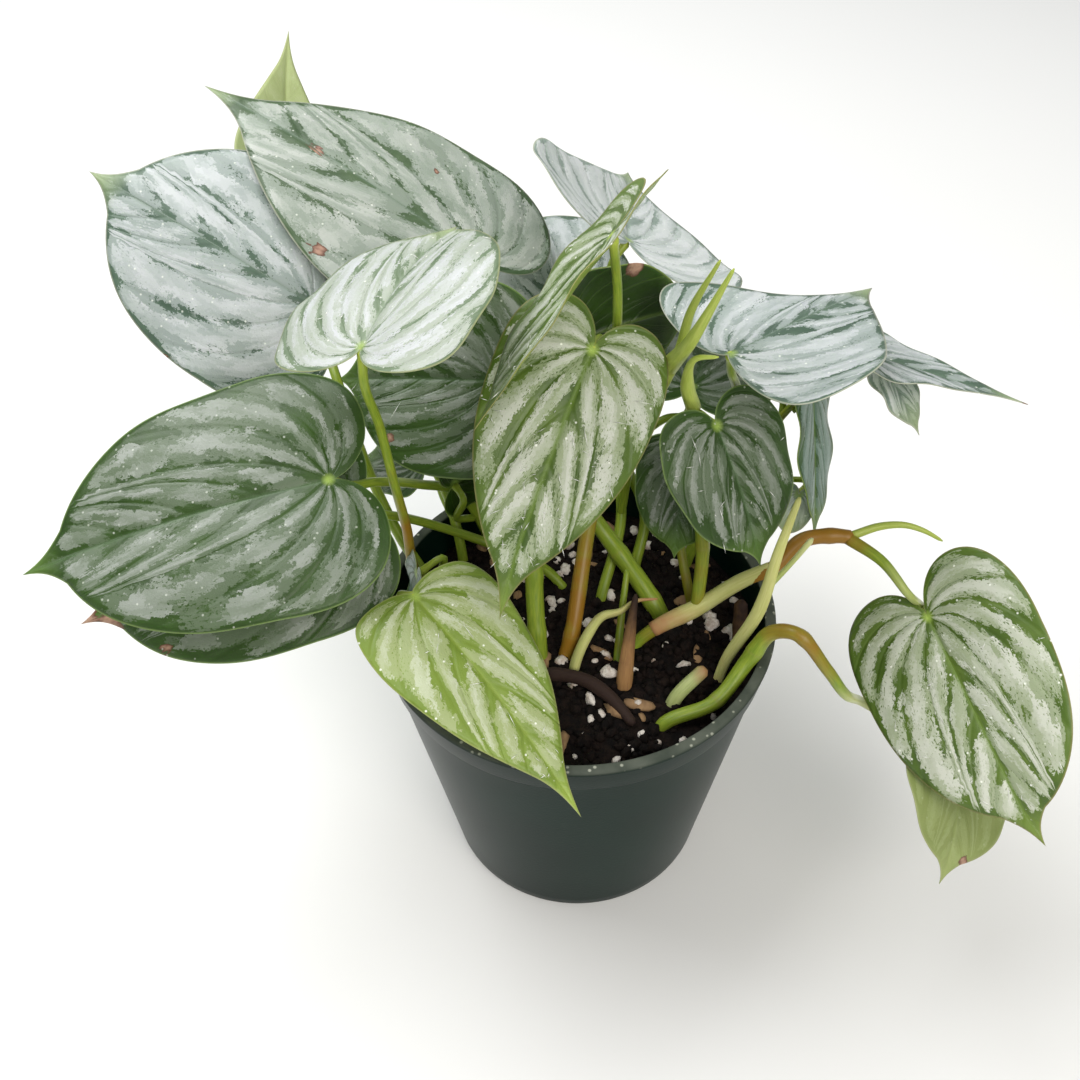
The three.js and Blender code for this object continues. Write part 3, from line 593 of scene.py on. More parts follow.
def leaf_skin(name, look):
    """The waxy skin of a blade. look names its colours and how much of it is silver."""
    skin, place = new_material(name)
    vein = add_node(skin, "Attribute", {}, output="Vector", attribute_name="vein")
    reach = add_node(skin, "Attribute", {}, output="Vector", attribute_name="reach")
    to_rim, to_midrib, to_stalk = add_node(skin, "SeparateXYZ", {0: reach}).node.outputs
    kind = add_node(skin, "Attribute", {}, output="Vector", attribute_name="skin")
    underside, damage, to_tip = add_node(skin, "SeparateXYZ", {0: kind}).node.outputs

    # Silver lies in patches between the side veins. It fills whole groups of cells, so its edges are jagged.
    strip_place = add_node(skin, "VectorMath", {0: vein, 1: (8, 0.05, 5.3)}, operation="MULTIPLY")
    strips = add_node(skin, "TexNoise", {"Vector": strip_place, "Scale": 1, "Detail": 3, "Roughness": 0.6})
    tears = add_node(skin, "TexNoise", {"Vector": place, "Scale": 800, "Detail": 4, "Roughness": 0.7})
    tears = add_node(skin, "Math", {0: tears, 1: 0.5}, operation="SUBTRACT")
    torn = add_node(skin, "VectorMath", {0: tears, 1: (0.45, 8, 0), 2: vein}, operation="MULTIPLY_ADD")
    group_place = add_node(skin, "VectorMath", {0: torn, 1: (10, 0.45, 3.1)}, operation="MULTIPLY")
    groups = add_node(skin, "TexVoronoi", {"Vector": group_place, "Scale": 1}, output="Position")
    patch_place = add_node(skin, "VectorMath", {0: groups, 1: (0.22, 0.22, 0.2)}, operation="MULTIPLY")
    patches = add_node(skin, "TexNoise", {
        "Vector": patch_place, "Scale": 1, "Detail": 3, "Roughness": 0.5,
    }, output="Color")
    thick_patch, thin_patch, tone_patch = add_node(skin, "SeparateXYZ", {0: patches}).node.outputs
    group_across = add_node(skin, "SeparateXYZ", {0: groups}).node.outputs[0]
    torn_across = add_node(skin, "Math", {0: group_across, 1: 10}, operation="DIVIDE")
    fleck_place = add_node(skin, "VectorMath", {0: vein, 1: (22, 1.1, 7)}, operation="MULTIPLY")
    flecks = add_node(skin, "TexNoise", {"Vector": fleck_place, "Scale": 1, "Detail": 3})
    fleck_share = add_node(skin, "MapRange", {
        "Value": flecks, "From Min": 0.56, "From Max": 0.68, "To Min": 0, "To Max": look["flecks"],
    })
    near_vein = add_node(skin, "Math", {0: torn_across, 1: 0.5}, operation="PINGPONG")
    rim_band = add_node(skin, "MapRange", {
        "Value": to_rim, "From Min": 0, "From Max": look["rim_band"], "To Min": 1.3, "To Max": 0,
    })
    midrib_band = add_node(skin, "MapRange", {
        "Value": to_midrib, "From Min": 0, "From Max": look["midrib_band"], "To Min": 1.3, "To Max": 0,
    })
    between = add_node(skin, "Math", {0: near_vein, 1: 2.2, 2: -look["green_band"]}, operation="MULTIPLY_ADD")
    between = add_node(skin, "Math", {0: between, 1: rim_band}, operation="SUBTRACT")
    between = add_node(skin, "Math", {0: between, 1: fleck_share}, operation="SUBTRACT")
    clouds = add_node(skin, "TexNoise", {"Vector": place, "Scale": 55, "Detail": 1})
    between = pushed(skin, clouds, look["cloudy"], between)
    thick = pushed(skin, thick_patch, look["ragged"], between)
    thick = add_node(skin, "Math", {0: thick, 1: midrib_band}, operation="SUBTRACT")
    thin = pushed(skin, thin_patch, look["ragged"], between)
    thin = add_node(skin, "Math", {0: midrib_band, 1: -0.5, 2: thin}, operation="MULTIPLY_ADD")
    thick_silver = add_node(skin, "MapRange", {
        "Value": thick, "From Min": -0.02, "From Max": 0.07, "To Max": 1,
    }, interpolation_type="SMOOTHSTEP")
    thin_silver = add_node(skin, "MapRange", {
        "Value": thin, "From Min": -look["thin_reach"], "From Max": 0.09 - look["thin_reach"],
        "To Max": look["thin"],
    }, interpolation_type="SMOOTHSTEP")

    mottle = add_node(skin, "TexNoise", {"Vector": place, "Scale": 90, "Detail": 4})
    green = recoloured(skin, srgb(look["deep_green"]), srgb(look["green"]), mottle, 0.3, 0.7)
    dull_silver = srgb(look["dull_silver"])
    silver = recoloured(skin, dull_silver, srgb(look["silver"]), tone_patch, 0.36, 0.62)
    upper = add_node(skin, "Mix", {0: thin_silver, 6: green, 7: dull_silver}, output=2, data_type="RGBA")
    upper = add_node(skin, "Mix", {
        0: add_node(skin, "Math", {0: thick_silver, 1: look["thick"]}, operation="MULTIPLY"),
        6: upper, 7: silver,
    }, output=2, data_type="RGBA")

    # The underside is paler, plain green, with the veins showing lighter through it.
    vein_across = add_node(skin, "SeparateXYZ", {0: vein}).node.outputs[0]
    off_vein = add_node(skin, "Math", {0: vein_across, 1: 0.5}, operation="PINGPONG")
    under = recoloured(skin, srgb(look["under_deep"]), srgb(look["under"]), mottle, 0.3, 0.7)
    under = recoloured(skin, under, srgb(look["under_vein"]), off_vein, 0.05, 0.01, 0.35)
    colour = add_node(skin, "Mix", {0: underside, 6: upper, 7: under}, output=2, data_type="RGBA")

    # The midrib, the joint on the stalk and the tip are clearer greens, and the margin is a thin pale line.
    for hue, distance, far, near, share in (
        (look["midrib_colour"], to_midrib, 0.8, 0.2, look["midrib"]),
        (JOINT_GREEN, to_stalk, 2, 0.5, look["joint"]),
        (look["tip"], to_tip, 12, 2, 0.8),
        (look["margin"], to_rim, 0.5, 0.1, 0.8),
    ):
        colour = recoloured(skin, colour, srgb(hue), distance, far, near, share)

    # Dead spots: dry tissue, tan in the middle with a darker brown edge.
    eaten = add_node(skin, "TexNoise", {"Vector": place, "Scale": 450, "Detail": 4})
    dead = add_node(skin, "Math", {0: eaten, 1: 1.1, 2: damage}, operation="MULTIPLY_ADD")
    dead_colour = recoloured(skin, srgb("#5d3a2b"), srgb("#b08c78"), dead, 1.05, 1.5)
    colour = recoloured(skin, colour, dead_colour, dead, 0.94, 1.06)

    # White specks, partly dried sap and dust and partly painted glints on wet spots, most on young blades.
    sap = add_node(skin, "TexVoronoi", {"Vector": place, "Scale": 300})
    colour = recoloured(skin, colour, srgb("#f2f5ea"), sap, 0.11, 0.06, look["specks"])

    # Fine cells give the skin its grain, drawn about 0.4 mm wide to show, and the veins are pressed in.
    cells = add_node(skin, "TexVoronoi", {"Vector": place, "Scale": 2400})
    vein_dip = add_node(skin, "MapRange", {
        "Value": off_vein, "From Min": 0, "From Max": 0.12, "To Min": 0, "To Max": look["relief"],
    }, interpolation_type="SMOOTHSTEP")
    relief = add_node(skin, "Math", {0: cells, 1: 0.16, 2: vein_dip}, operation="MULTIPLY_ADD")
    relief = add_node(skin, "Math", {0: strips, 1: 0.25, 2: relief}, operation="MULTIPLY_ADD")
    bump = add_node(skin, "Bump", {"Height": relief, "Strength": 0.5, "Distance": 0.0004})
    roughness = add_node(skin, "MapRange", {
        "Value": strips, "From Min": 0.3, "From Max": 0.7,
        "To Min": look["gloss"], "To Max": look["gloss"] + 0.14,
    })
    shader = add_node(skin, "BsdfPrincipled", {
        "Base Color": colour, "Roughness": roughness, "IOR": 1.42, "Normal": bump,
        "Subsurface Weight": 0.1, "Subsurface Scale": 0.0012, "Subsurface Radius": (0.7, 1, 0.5),
    })
    add_node(skin, "OutputMaterial", {"Surface": shader})
    return skin


# A blade comes out lime, turns silver-white, then grey-green and dark, and at last a cold blue-silver with
# little green left. Blades that hang in the shade show their underside, or have lost their silver. The shaded
# look's underside is painted shade, a dark deep green that also paints light shining through the blade. Each
# row below holds one value of a look, for each of AGES in turn.
AGES = ("newest", "palest", "young", "mature", "old", "shaded", "plain")
LOOK_VALUES = {
    "slot": (
        "leaf_young", "leaf_young", "leaf_young", "leaf_mature",
        "leaf_old", "leaf_shaded", "leaf_shaded",
    ),
    "green": ("#7f9440", "#74856a", "#60772f", "#385220", "#5b705f", "#3d5c31", "#879356"),
    "deep_green": ("#6a812c", "#5f7355", "#3f581b", "#263e10", "#435849", "#26461a", "#7a864a"),
    "silver": ("#c3c9b0", "#c3c6c7", "#c4c8bb", "#939990", "#c3c7c8", "#7c8f85", "#98a372"),
    "dull_silver": ("#a2ad7c", "#a6aea0", "#93a07c", "#616f58", "#9ca6a2", "#5f776a", "#97a36c"),
    # In the shaded look, the under greens are painted shade and painted light shining through the blade.
    "under": ("#9aae52", "#9aae5a", "#8b9f3f", "#6d8540", "#7d9062", "#284404", "#838d50"),
    "under_deep": ("#859a40", "#859a48", "#72872c", "#547034", "#667c50", "#162c02", "#788345"),
    "under_vein": ("#b5c67c", "#b5c67c", "#b5c67c", "#9fb56a", "#a9bb82", "#4c6a1c", "#96a267"),
    "margin": ("#a5ad6a", "#a8ad82", "#8f8a58", "#7f9658", "#b3b5a4", "#7c8f45", "#a3a878"),
    "midrib_colour": ("#8ba043", "#8a9a80", "#6c8733", "#57754a", "#6b806c", "#6a8238", "#9aa668"),
    "midrib": (0.5, 0.5, 0.6, 0.3, 0.35, 0.5, 0.35),
    "joint": (0.7, 0.6, 0.9, 0.7, 0.6, 0.7, 0.6),
    "green_band": (0.6, 0.32, 0.42, 0.55, 0.25, 0.3, 0.9),
    "ragged": (3.2, 3.6, 3.2, 3.6, 3.2, 3.2, 2.4),
    "thick": (0.85, 0.96, 0.96, 0.93, 0.95, 0.9, 0.4),
    "thin": (0.8, 0.9, 0.85, 0.75, 0.85, 0.8, 0.4),
    "thin_reach": (0.4, 0.4, 0.25, 0.35, 0.35, 0.35, 0.4),
    "flecks": (0.5, 0.6, 0.8, 0.4, 0.45, 0.45, 0.3),
    "cloudy": (0.7, 0.6, 0.7, 1.2, 1.0, 1.0, 1.0),
    "rim_band": (2.2, 1.8, 2.6, 3.6, 2.2, 3.2, 2.0),
    "midrib_band": (2.4, 4, 2.2, 3.2, 4.5, 3, 2.6),
    "specks": (0.8, 0.6, 0.85, 0.35, 0.55, 0.2, 0.1),
    "tip": ("#9fb54c", "#a9b886", "#7f9440", "#5f7d35", "#a3b385", "#6f8a48", "#9aa668"),
    "gloss": (0.32, 0.4, 0.34, 0.32, 0.32, 0.3, 0.45),
    "relief": (0.7, 0.6, 0.75, 0.55, 0.5, 0.5, 0.2),
}
LEAF_LOOKS = {age: {key: row[i] for key, row in LOOK_VALUES.items()} for i, age in enumerate(AGES)}
LEAF_LOOKS["faded"] = {
    **LEAF_LOOKS["old"],
    "silver": "#d3d7d6", "dull_silver": "#b9c1bd", "green": "#8b9a90", "deep_green": "#75867b",
}
LEAF_LOOKS["sage"] = {
    **LEAF_LOOKS["old"],
    "silver": "#b5bab2", "dull_silver": "#8f9a8d", "green": "#566a4c", "deep_green": "#3f5438",
}
LEAF_LOOKS["silvery"] = {
    **LEAF_LOOKS["young"],
    "silver": "#cbcec1", "dull_silver": "#9fa98b", "green_band": 0.38,
}
LEAF_LOOKS["lime"] = {
    **LEAF_LOOKS["plain"],
    "green": "#b0bb86", "deep_green": "#a2ae76", "silver": "#bdc69a", "dull_silver": "#b3bd8c",
    "under": "#b4bd8c", "under_deep": "#a8b27f", "tip": "#b9c48c",
}
leaf_skins = {age: leaf_skin(f"waxy_{age}_leaf_skin", look) for age, look in LEAF_LOOKS.items()}
for one in LEAVES:
    make_blade(one, leaf_skins[one["age"]], LEAF_LOOKS[one["age"]])


# The stems are rooted cuttings, smooth and juicy, and each carries its leaves on thin round stalks. A stalk
# thickens where it leaves the stem and again at the joint under its blade.
STALK_SIDES = 18
STALK_STEP = 1.1
STALK_JOINT = 0.35
NECK_DROP = 1.3
NECK_BACK = 0.6
KNOT_BULGE = 0.25
KNOT_WIDTH = 1.6
JOINT_BULGE = 0.3
JOINT_WIDTH = 2.5
SCAR_WIDTH = 1.1
END_ROUNDING = 0.8
NO_JOINT = 99
PALE_STALK = "#d2d59a"


def stalk(points, radii, leaf_name=None, bronze=(0, 0), knots=()):
    """A stalk through points. radii and bronze are spread evenly along it, and knots are in mm.

    bronze is how brown the stalk is, or where it is below zero how pale."""
    return {"points": points, "radii": radii, "leaf": leaf_name, "bronze": bronze, "knots": knots}


STEMS = {
    "stem_front": [
        stalk([(-10, -11, 68), (-10, -11, 82), (-11, 3, 108), (-7, 12, 135), (0, 18, 158)],
              (2.6, 2.4, 1.8, 1.2), "leaf_front", knots=(24, 40)),
    ],
    "stem_centre": [
        stalk([(-4, -9, 68), (-3, -9, 82), (-1, -6, 90), (3, 11, 110), (9, 26, 140), (10, 25, 176)],
              (2, 2.2, 1.7, 1.2, 1.1), "leaf_centre_high", bronze=(0.7, 0.9, 0.6, 0.2, 0, 0), knots=(22,)),
    ],
    "stem_leaning": [
        stalk([(25, 5, 68), (24, 6, 82), (7, 24, 100), (-8, 29, 122)], (2.8, 2.6, 1.8, 1.2),
              "leaf_mid_left", knots=(20, 36)),
    ],
    "stem_inner": [
        stalk([(7, 12, 68), (7, 12, 82), (13, 30, 98), (11, 46, 114), (12, 62, 132), (10, 68, 147)],
              (1.6, 1.5, 1.3, 1.1), "leaf_top_right"),
        stalk([(13, 31, 99), (15, 31, 118), (18.5, 25, 138)], (1.3, 1.3, 1.4)),
    ],
    "stem_inner_back": [
        stalk([(17, 24, 68), (17, 24, 82), (20, 33, 96), (14, 38, 112), (7, 43, 132)],
              (1.7, 1.5, 1.3, 1.1), "leaf_centre_back"),
    ],
    "stem_thin": [
        stalk([(11, -14, 70), (11, -14, 80), (12, -4, 88), (14, 8, 100)], (1.3, 1.2, 1, 0.8),
              bronze=(0.3, 0.2, 0)),
    ],
    "stem_right_vine": [
        stalk([(13, -8, 72), (16, -5, 83), (24, -2, 89), (33, 1, 92), (44, 4, 99), (53, 5, 104), (60, 9, 110),
               (68, 9, 112), (73.5, 8, 112.3)], (1.8, 1.7, 2, 1.7, 1.8, 2.1, 1.9),
              bronze=(0, 0.1, 0.4, 0.7, 0.9, 1, 1, 0.9), knots=(28, 54, 74)),
        stalk([(72, 8, 112), (80, 1, 110.5), (86, -6, 106)], (1.7, 1.1, 1), "leaf_trailing",
              bronze=(0.8, -0.2, -0.5, -0.3)),
        stalk([(33, 1, 92), (34, 9, 108), (30, 13, 128), (26, 13, 145)], (1.8, 1.8, 1.6, 1.6),
              bronze=(0.4, 0.25, 0, 0), knots=(18, 40)),
        stalk([(28, 13, 137), (31, 15, 142)], (1.3, 1, 0.9), "leaf_small_right"),
    ],
    "stem_right_thin": [
        stalk([(33, 6, 68), (33, 6, 82), (29, 18, 100), (27, 27, 118)], (1.5, 1.4, 1.2, 1),
              "leaf_small_right_under", bronze=(0.5, 0.4, 0.2, 0)),
    ],
    "stem_right_back": [
        stalk([(32, 26, 68), (32, 26, 82), (42, 32, 112), (42, 31, 142), (38.5, 23, 156)], (1.8, 1.6, 1.3, 1),
              "leaf_right"),
        stalk([(35, 28, 91), (50, 37, 118), (62, 38, 138)], (1.5, 1.3, 1, 1), "leaf_far_right",
              bronze=(0, 0.2, 0.4)),
        stalk([(58.5, 37.7, 131), (70, 42, 139)], (1, 0.9, 0.8), "leaf_right_low"),
        stalk([(48, 36, 114), (56, 39, 128)], (1.1, 1, 0.9), "leaf_right_hanging"),
        stalk([(39, 30, 103), (50, 34, 106), (59, 35, 108)], (1, 0.9, 0.8), "leaf_right_small"),
    ],
    "stem_front_vine": [
        stalk([(20, -33, 72), (23, -31, 83), (36, -27, 87), (45, -19, 95), (50, -17, 103), (56, -20, 106),
               (64, -24, 97), (71, -22, 84), (79, -15, 71), (91, -18, 65)],
              (1.9, 1.9, 2.2, 1.6, 1.4, 1.2, 1.1), "leaf_trailing_under",
              bronze=(0, 0, 0, 0, 0.1, 0.7, 0.6, 0, -0.6, -0.8, -0.8, -0.6, -0.4),
              knots=(27, 43, 60)),
    ],
    "stem_left_young": [
        stalk([(-34, 2, 70), (-36, 2, 82), (-44, 7, 100), (-45, 9, 115), (-46, 6, 135), (-47, 4, 155)],
              (1.6, 1.4, 1.2, 1.1), "leaf_young_left", bronze=(0.6, 0.7, 0.8, 0.1, 0, 0)),
    ],
    "stem_left_back": [
        stalk([(-38, 12, 70), (-40, 13, 82), (-43, 14, 92), (-49, 19, 101), (-55, 26, 112), (-59, 30, 126),
               (-62, 33, 142), (-68, 50, 147)], (1.7, 1.5, 1.3, 1.2), "leaf_back_left"),
        stalk([(-66, 45, 145), (-72, 76, 140), (-80, 94, 143)], (1.2, 1.1, 1), "leaf_back_upright"),
    ],
    "stem_left": [
        stalk([(-24, 34, 70), (-25, 34, 82), (-33, 34, 104), (-43, 25, 116), (-52, 12, 129)],
              (1.7, 1.5, 1.3, 1.2), "leaf_left"),
        stalk([(-30, 34, 94), (-34, 28, 100)], (1.1, 1.1, 0.9), "leaf_inner_turned"),
    ],
    "stem_left_low": [
        stalk([(-2, 15, 70), (-4, 17, 83), (-12, 22, 88), (-26, 26, 92), (-42, 22, 104), (-51, 14, 115)],
              (1.5, 1.4, 1.3, 1.2), "leaf_left_under"),
    ],
    "stem_left_top": [
        stalk([(-33, 26, 70), (-33, 26, 80), (-34, 29, 90), (-37, 36, 100), (-43, 47, 112), (-37, 64, 136)],
              (1.5, 1.4, 1.3, 1.1), "leaf_top_left"),
        stalk([(-34, 30, 93), (-40, 42, 98)], (1.1, 1, 0.9), "leaf_inner_left"),
    ],
    "stem_left_low_leaf": [
        stalk([(-34, -6, 70), (-35, -5, 82), (-38, 2, 98)], (1.3, 1.1, 0.9), "leaf_inner_low"),
    ],
    "stem_back": [
        stalk([(-6, 38, 70), (-6, 39, 82), (-4, 54, 108), (-3, 69, 122)], (2, 1.8, 1.4, 1.1),
              "leaf_back_centre"),
        stalk([(-6, 42, 90), (-14, 56, 108)], (1.3, 1.2, 1.1), "leaf_back_low"),
        stalk([(-6, 40, 84), (10, 50, 100), (26, 57, 112)], (1.5, 1.3, 1.1), "leaf_back_right"),
    ],
    "stem_front_left": [
        stalk([(-26, -12, 70), (-27, -12, 82), (-33, -11, 98)], (1.7, 1.5, 1.2), "leaf_front_left"),
    ],
}


def smooth_path(points, step):
    """A centripetal curve through the points, in even steps, with the length at each."""
    knots = np.array(points, float)
    ends = np.vstack([2 * knots[0] - knots[1], knots, 2 * knots[-1] - knots[-2]])
    t = np.linspace(0, 1, 30)[:, None]
    legs = []
    for i in range(len(knots) - 1):
        p0, p1, p2, p3 = ends[i:i + 4]
        d0, d1, d2 = (np.linalg.norm(b - a) ** 0.5 for a, b in ((p0, p1), (p1, p2), (p2, p3)))
        leave = ((p1 - p0) / d0 - (p2 - p0) / (d0 + d1) + (p2 - p1) / d1) * d1
        arrive = ((p2 - p1) / d1 - (p3 - p1) / (d1 + d2) + (p3 - p2) / d2) * d1
        legs.append(
            p1 + leave * t + (3 * (p2 - p1) - 2 * leave - arrive) * t ** 2
            + (2 * (p1 - p2) + leave + arrive) * t ** 3
        )
    dense = np.vstack(legs)
    reach = np.concatenate([[0], np.cumsum(np.linalg.norm(np.diff(dense, axis=0), axis=1))])
    even = np.linspace(0, reach[-1], max(4, round(reach[-1] / step)) + 1)
    return np.column_stack([np.interp(even, reach, dense[:, i]) for i in range(3)]), even


def path_frames(path):
    """At each point of a path the direction it runs in and two sideways directions that don't twist."""
    ahead = np.gradient(path, axis=0)
    ahead /= np.linalg.norm(ahead, axis=1)[:, None]
    side = np.cross(ahead[0], (0, 0, 1) if abs(ahead[0][2]) < 0.9 else (1, 0, 0))
    sides = []
    for direction in ahead:
        side = side - direction * (direction @ side)
        side /= np.linalg.norm(side)
        sides.append(side)
    return ahead, np.array(sides), np.cross(ahead, sides)


def stalk_route(one):
    """The points of a stalk, with the last bend that brings it up under its blade."""
    if not one["leaf"]:
        return one["points"]
    carried = leaf_named[one["leaf"]]
    forward, _, up = blade_axes(carried)
    joint = carried["at"] - up * STALK_JOINT
    if not carried["neck"]:
        return [*one["points"], joint]
    neck = carried["at"] - up * (carried["neck"] + NECK_DROP) - forward * carried["neck"] * NECK_BACK
    return [*one["points"], neck, joint]


def tube(one, squeeze=1):
    """Points, faces and per-point values of one round stalk with closed ends."""
    path, reach = smooth_path(stalk_route(one), STALK_STEP)
    ahead, side, other = path_frames(path)
    share = reach / reach[-1]
    radii = np.interp(share, np.linspace(0, 1, len(one["radii"])), one["radii"])
    for knot in one["knots"]:
        radii = radii + KNOT_BULGE * np.exp(-((reach - knot) / KNOT_WIDTH) ** 2)
    if one["leaf"]:
        radii = radii + JOINT_BULGE * np.exp(-((reach[-1] - reach) / JOINT_WIDTH) ** 2)
    radii = radii * np.sqrt(np.clip((reach[-1] - reach) / END_ROUNDING + 0.25, 0, 1))
    angles = np.arange(STALK_SIDES) * 2 * math.pi / STALK_SIDES
    ring = radii[:, None, None] * (
        np.cos(angles)[None, :, None] * side[:, None, :]
        + squeeze * np.sin(angles)[None, :, None] * other[:, None, :]
    )
    points = (path[:, None, :] + ring).reshape(-1, 3)
    bronze = np.interp(share, np.linspace(0, 1, len(one["bronze"])), one["bronze"])
    knot_share = np.zeros(len(reach))
    for knot in one["knots"]:
        knot_share = knot_share + np.exp(-((reach - knot) / SCAR_WIDTH) ** 2)
    to_joint = reach[-1] - reach if one["leaf"] else np.full(len(reach), NO_JOINT)
    fields = {
        "grain": np.column_stack([
            np.repeat(reach, STALK_SIDES),
            np.tile(np.cos(angles), len(path)),
            np.tile(np.sin(angles), len(path)),
        ]),
        "tint": np.repeat(np.column_stack([bronze, knot_share, to_joint]), STALK_SIDES, axis=0),
    }
    return points, joined_rings(STALK_SIDES, len(path)), fields


def make_stem(name, parts, material, replaced):
    """One piece from several tubes."""
    points = np.vstack([part[0] for part in parts])
    faces = []
    first = 0
    for part in parts:
        faces.extend(tuple(first + corner for corner in face) for face in part[1])
        first += len(part[0])
    piece = add_piece(name, points, faces, material, replaced)
    set_fields(piece, {key: np.vstack([part[2][key] for part in parts]) for key in parts[0][2]})


def stalk_skin(name, green, light, bronze, joint, scar, roughness):
    """The skin of a stem: two greens in fine streaks along it, bronze stretches and scarred knots."""
    skin, place = new_material(name)
    grain = add_node(skin, "Attribute", {}, output="Vector", attribute_name="grain")
    tint = add_node(skin, "Attribute", {}, output="Vector", attribute_name="tint")
    bronze_share, knot, to_joint = add_node(skin, "SeparateXYZ", {0: tint}).node.outputs
    streak_place = add_node(skin, "VectorMath", {0: grain, 1: (0.12, 2.6, 2.6)}, operation="MULTIPLY")
    streaks = add_node(skin, "TexNoise", {
        "Vector": streak_place, "Scale": 1.6, "Detail": 5, "Roughness": 0.6,
    })
    blotches = add_node(skin, "TexNoise", {"Vector": place, "Scale": 160, "Detail": 3})
    colour = recoloured(skin, srgb(green), srgb(light), streaks, 0.2, 0.8)
    browned = add_node(skin, "Math", {0: blotches, 1: 0.9, 2: bronze_share}, operation="MULTIPLY_ADD")
    scarred = add_node(skin, "Math", {0: knot, 1: blotches}, operation="MULTIPLY")
    for hue, value, first, full, most in (
        (bronze, browned, 0.58, 1.3, 1),
        (PALE_STALK, bronze_share, 0, -1, 1),
        (joint, to_joint, 7, 1, 0.8),
        (scar, scarred, 0.35, 0.9, 1),
    ):
        colour = recoloured(skin, colour, srgb(hue), value, first, full, most)
    relief = add_node(skin, "Math", {0: blotches, 1: 0.5, 2: streaks}, operation="MULTIPLY_ADD")
    bump = add_node(skin, "Bump", {"Height": relief, "Strength": 0.15, "Distance": 0.0003})
    shader = add_node(skin, "BsdfPrincipled", {
        "Base Color": colour, "Roughness": roughness, "IOR": 1.4, "Normal": bump,
        "Subsurface Weight": 0.15, "Subsurface Scale": 0.0015, "Subsurface Radius": (0.7, 1, 0.3),
    })
    add_node(skin, "OutputMaterial", {"Surface": shader})
    return skin


# Living stem skin: yellow-green and moist, with a soft shine and light passing a little way into it.
green_skin = stalk_skin("green_stem_skin", "#5d7c22", "#9aa936", "#8f681f", "#b3c24e", "#8c8a48", 0.34)
for name, stalks in STEMS.items():
    make_stem(name + "_stalks", [tube(one) for one in stalks], green_skin, [name])

# This leaf stalk has lost its blade and dried pale towards its end.
CUT_PETIOLE = stalk([(49.3, -9.4, 112.5), (55, -4, 115), (61.5, 4, 116)], (0.8, 0.7, 0.8),
                     bronze=(-0.2, -0.5, -1))
make_stem("petiole_cut_stalk", [tube(CUT_PETIOLE)], green_skin, [])


# New leaves come up rolled tight, as pointed spikes out of the stem beside the last leaf. They are smooth and
# soft, and the palest green of the plant.
SHOOTS = {
    "shoot_pair": [
        stalk([(18.6, 24.6, 138.8), (22.4, 24.6, 154), (27, 11, 175), (34, 7, 196)], (1.5, 2.3, 1.5, 0.4)),
        stalk([(20, 23, 147), (25, 22, 162), (27, 19, 177), (32, 15, 193)], (1.6, 1.4, 1, 0.4)),
    ],
    "shoot_hooked": [
        stalk([(29.6, 20.4, 146.8), (27.2, 16.5, 157), (28, 11, 169), (33, 9, 171)], (2, 1.8, 1, 0.4)),
    ],
    "shoot_trailing": [
        stalk([(73, 8.6, 112.4), (80, 9.8, 114.6), (86, 9, 116), (91, 8, 115), (96.5, 7, 112)],
              (1.2, 1.1, 0.9, 0.7, 0.4)),
    ],
}

# Rolled leaf skin: a paler, more even green than the stem's, waxy and half matt.
shoot_skin = stalk_skin("rolled_leaf_skin", "#8fa43a", "#bcc767", "#b08a4a", "#b9cc6a", "#8a7a4c", 0.4)
for name, stalks in SHOOTS.items():
    make_stem(name + "_spikes", [tube(one) for one in stalks], shoot_skin, [name])


# Sheaths are the papery scales that wrapped a new leaf. They stay fixed to the stem where that leaf came out,
# dry to pale straw and curl away from it.
SHEATHS = {
    "sheath_curled": [
        stalk([(-1, -15, 78), (0, -13, 86), (3, -9, 92), (7, -3, 93), (12, -2, 94), (16, -1, 97),
               (22, -1, 98)], (2.3, 2.4, 2.3, 2.1, 1.1, 0.5), bronze=(0.5, 0.1, 0, 0.1, 0.4, 1)),
    ],
    "sheath_long": [
        stalk([(37, -18, 78), (40, -14, 88), (47, -12, 106), (51, -6, 122), (57, 7, 128)],
              (1.4, 1.6, 1.8, 1.4, 0.8), bronze=(0.3, 0, 0, 0.2)),
    ],
}
VINE_SHEATH = stalk([(21, -3, 87.5), (24, -2, 89), (33, 1, 92), (44, 4, 99), (53, 5, 104.5)],
                    (2.1, 2.5, 2.2, 2.1, 1.6), bronze=(0.9, 0.5, 0.05, 0, 0, 0.1))

# Sheath paper: thin dry tissue, straw-pale and matt, with long fine streaks and browned ends.
sheath_skin = stalk_skin("dry_sheath_paper", "#b0b45f", "#cdcc8c", "#b08458", "#d6d79a", "#9a7a54", 0.6)
for name, stalks in SHEATHS.items():
    make_stem(name + "_paper", [tube(one, squeeze=0.6) for one in stalks], sheath_skin, [name])
make_stem("sheath_vine_paper", [tube(VINE_SHEATH)], sheath_skin, [])


# Dead growth is an old twig, a withered sheath and the woody stub of a cut cutting. All are dry brown tissue
# that still stands in the soil or lies on it.
DEAD = {
    "sheath_dead": [
        stalk([(13, -19, 74), (13, -18, 84), (15, -6, 95), (16, -2, 101)], (1.8, 2.2, 1.6, 0.7),
              bronze=(0, 0, 1)),
    ],
    "twig_dark": [
        stalk([(-15, -16, 78), (-9, -16, 84), (2, -19, 86), (9, -24, 85), (15, -32, 84)],
              (1.5, 1.8, 1.9, 1.3), bronze=(1, 1), knots=(12,)),
    ],
    "stub_woody": [
        stalk([(45, -3, 72), (45, -3, 84), (45, 2, 94)], (2, 2, 1.8), bronze=(0.3, 0.8), knots=(16,)),
    ],
}

# Withered bark: dry brown tissue, darkest where it has rotted, rough and without shine.
dead_skin = stalk_skin("withered_bark", "#7d5a38", "#ae8553", "#2f1f18", "#7a5a40", "#2a1c16", 0.8)
for name, stalks in DEAD.items():
    make_stem(name + "_bark", [tube(one) for one in stalks], dead_skin, [name])

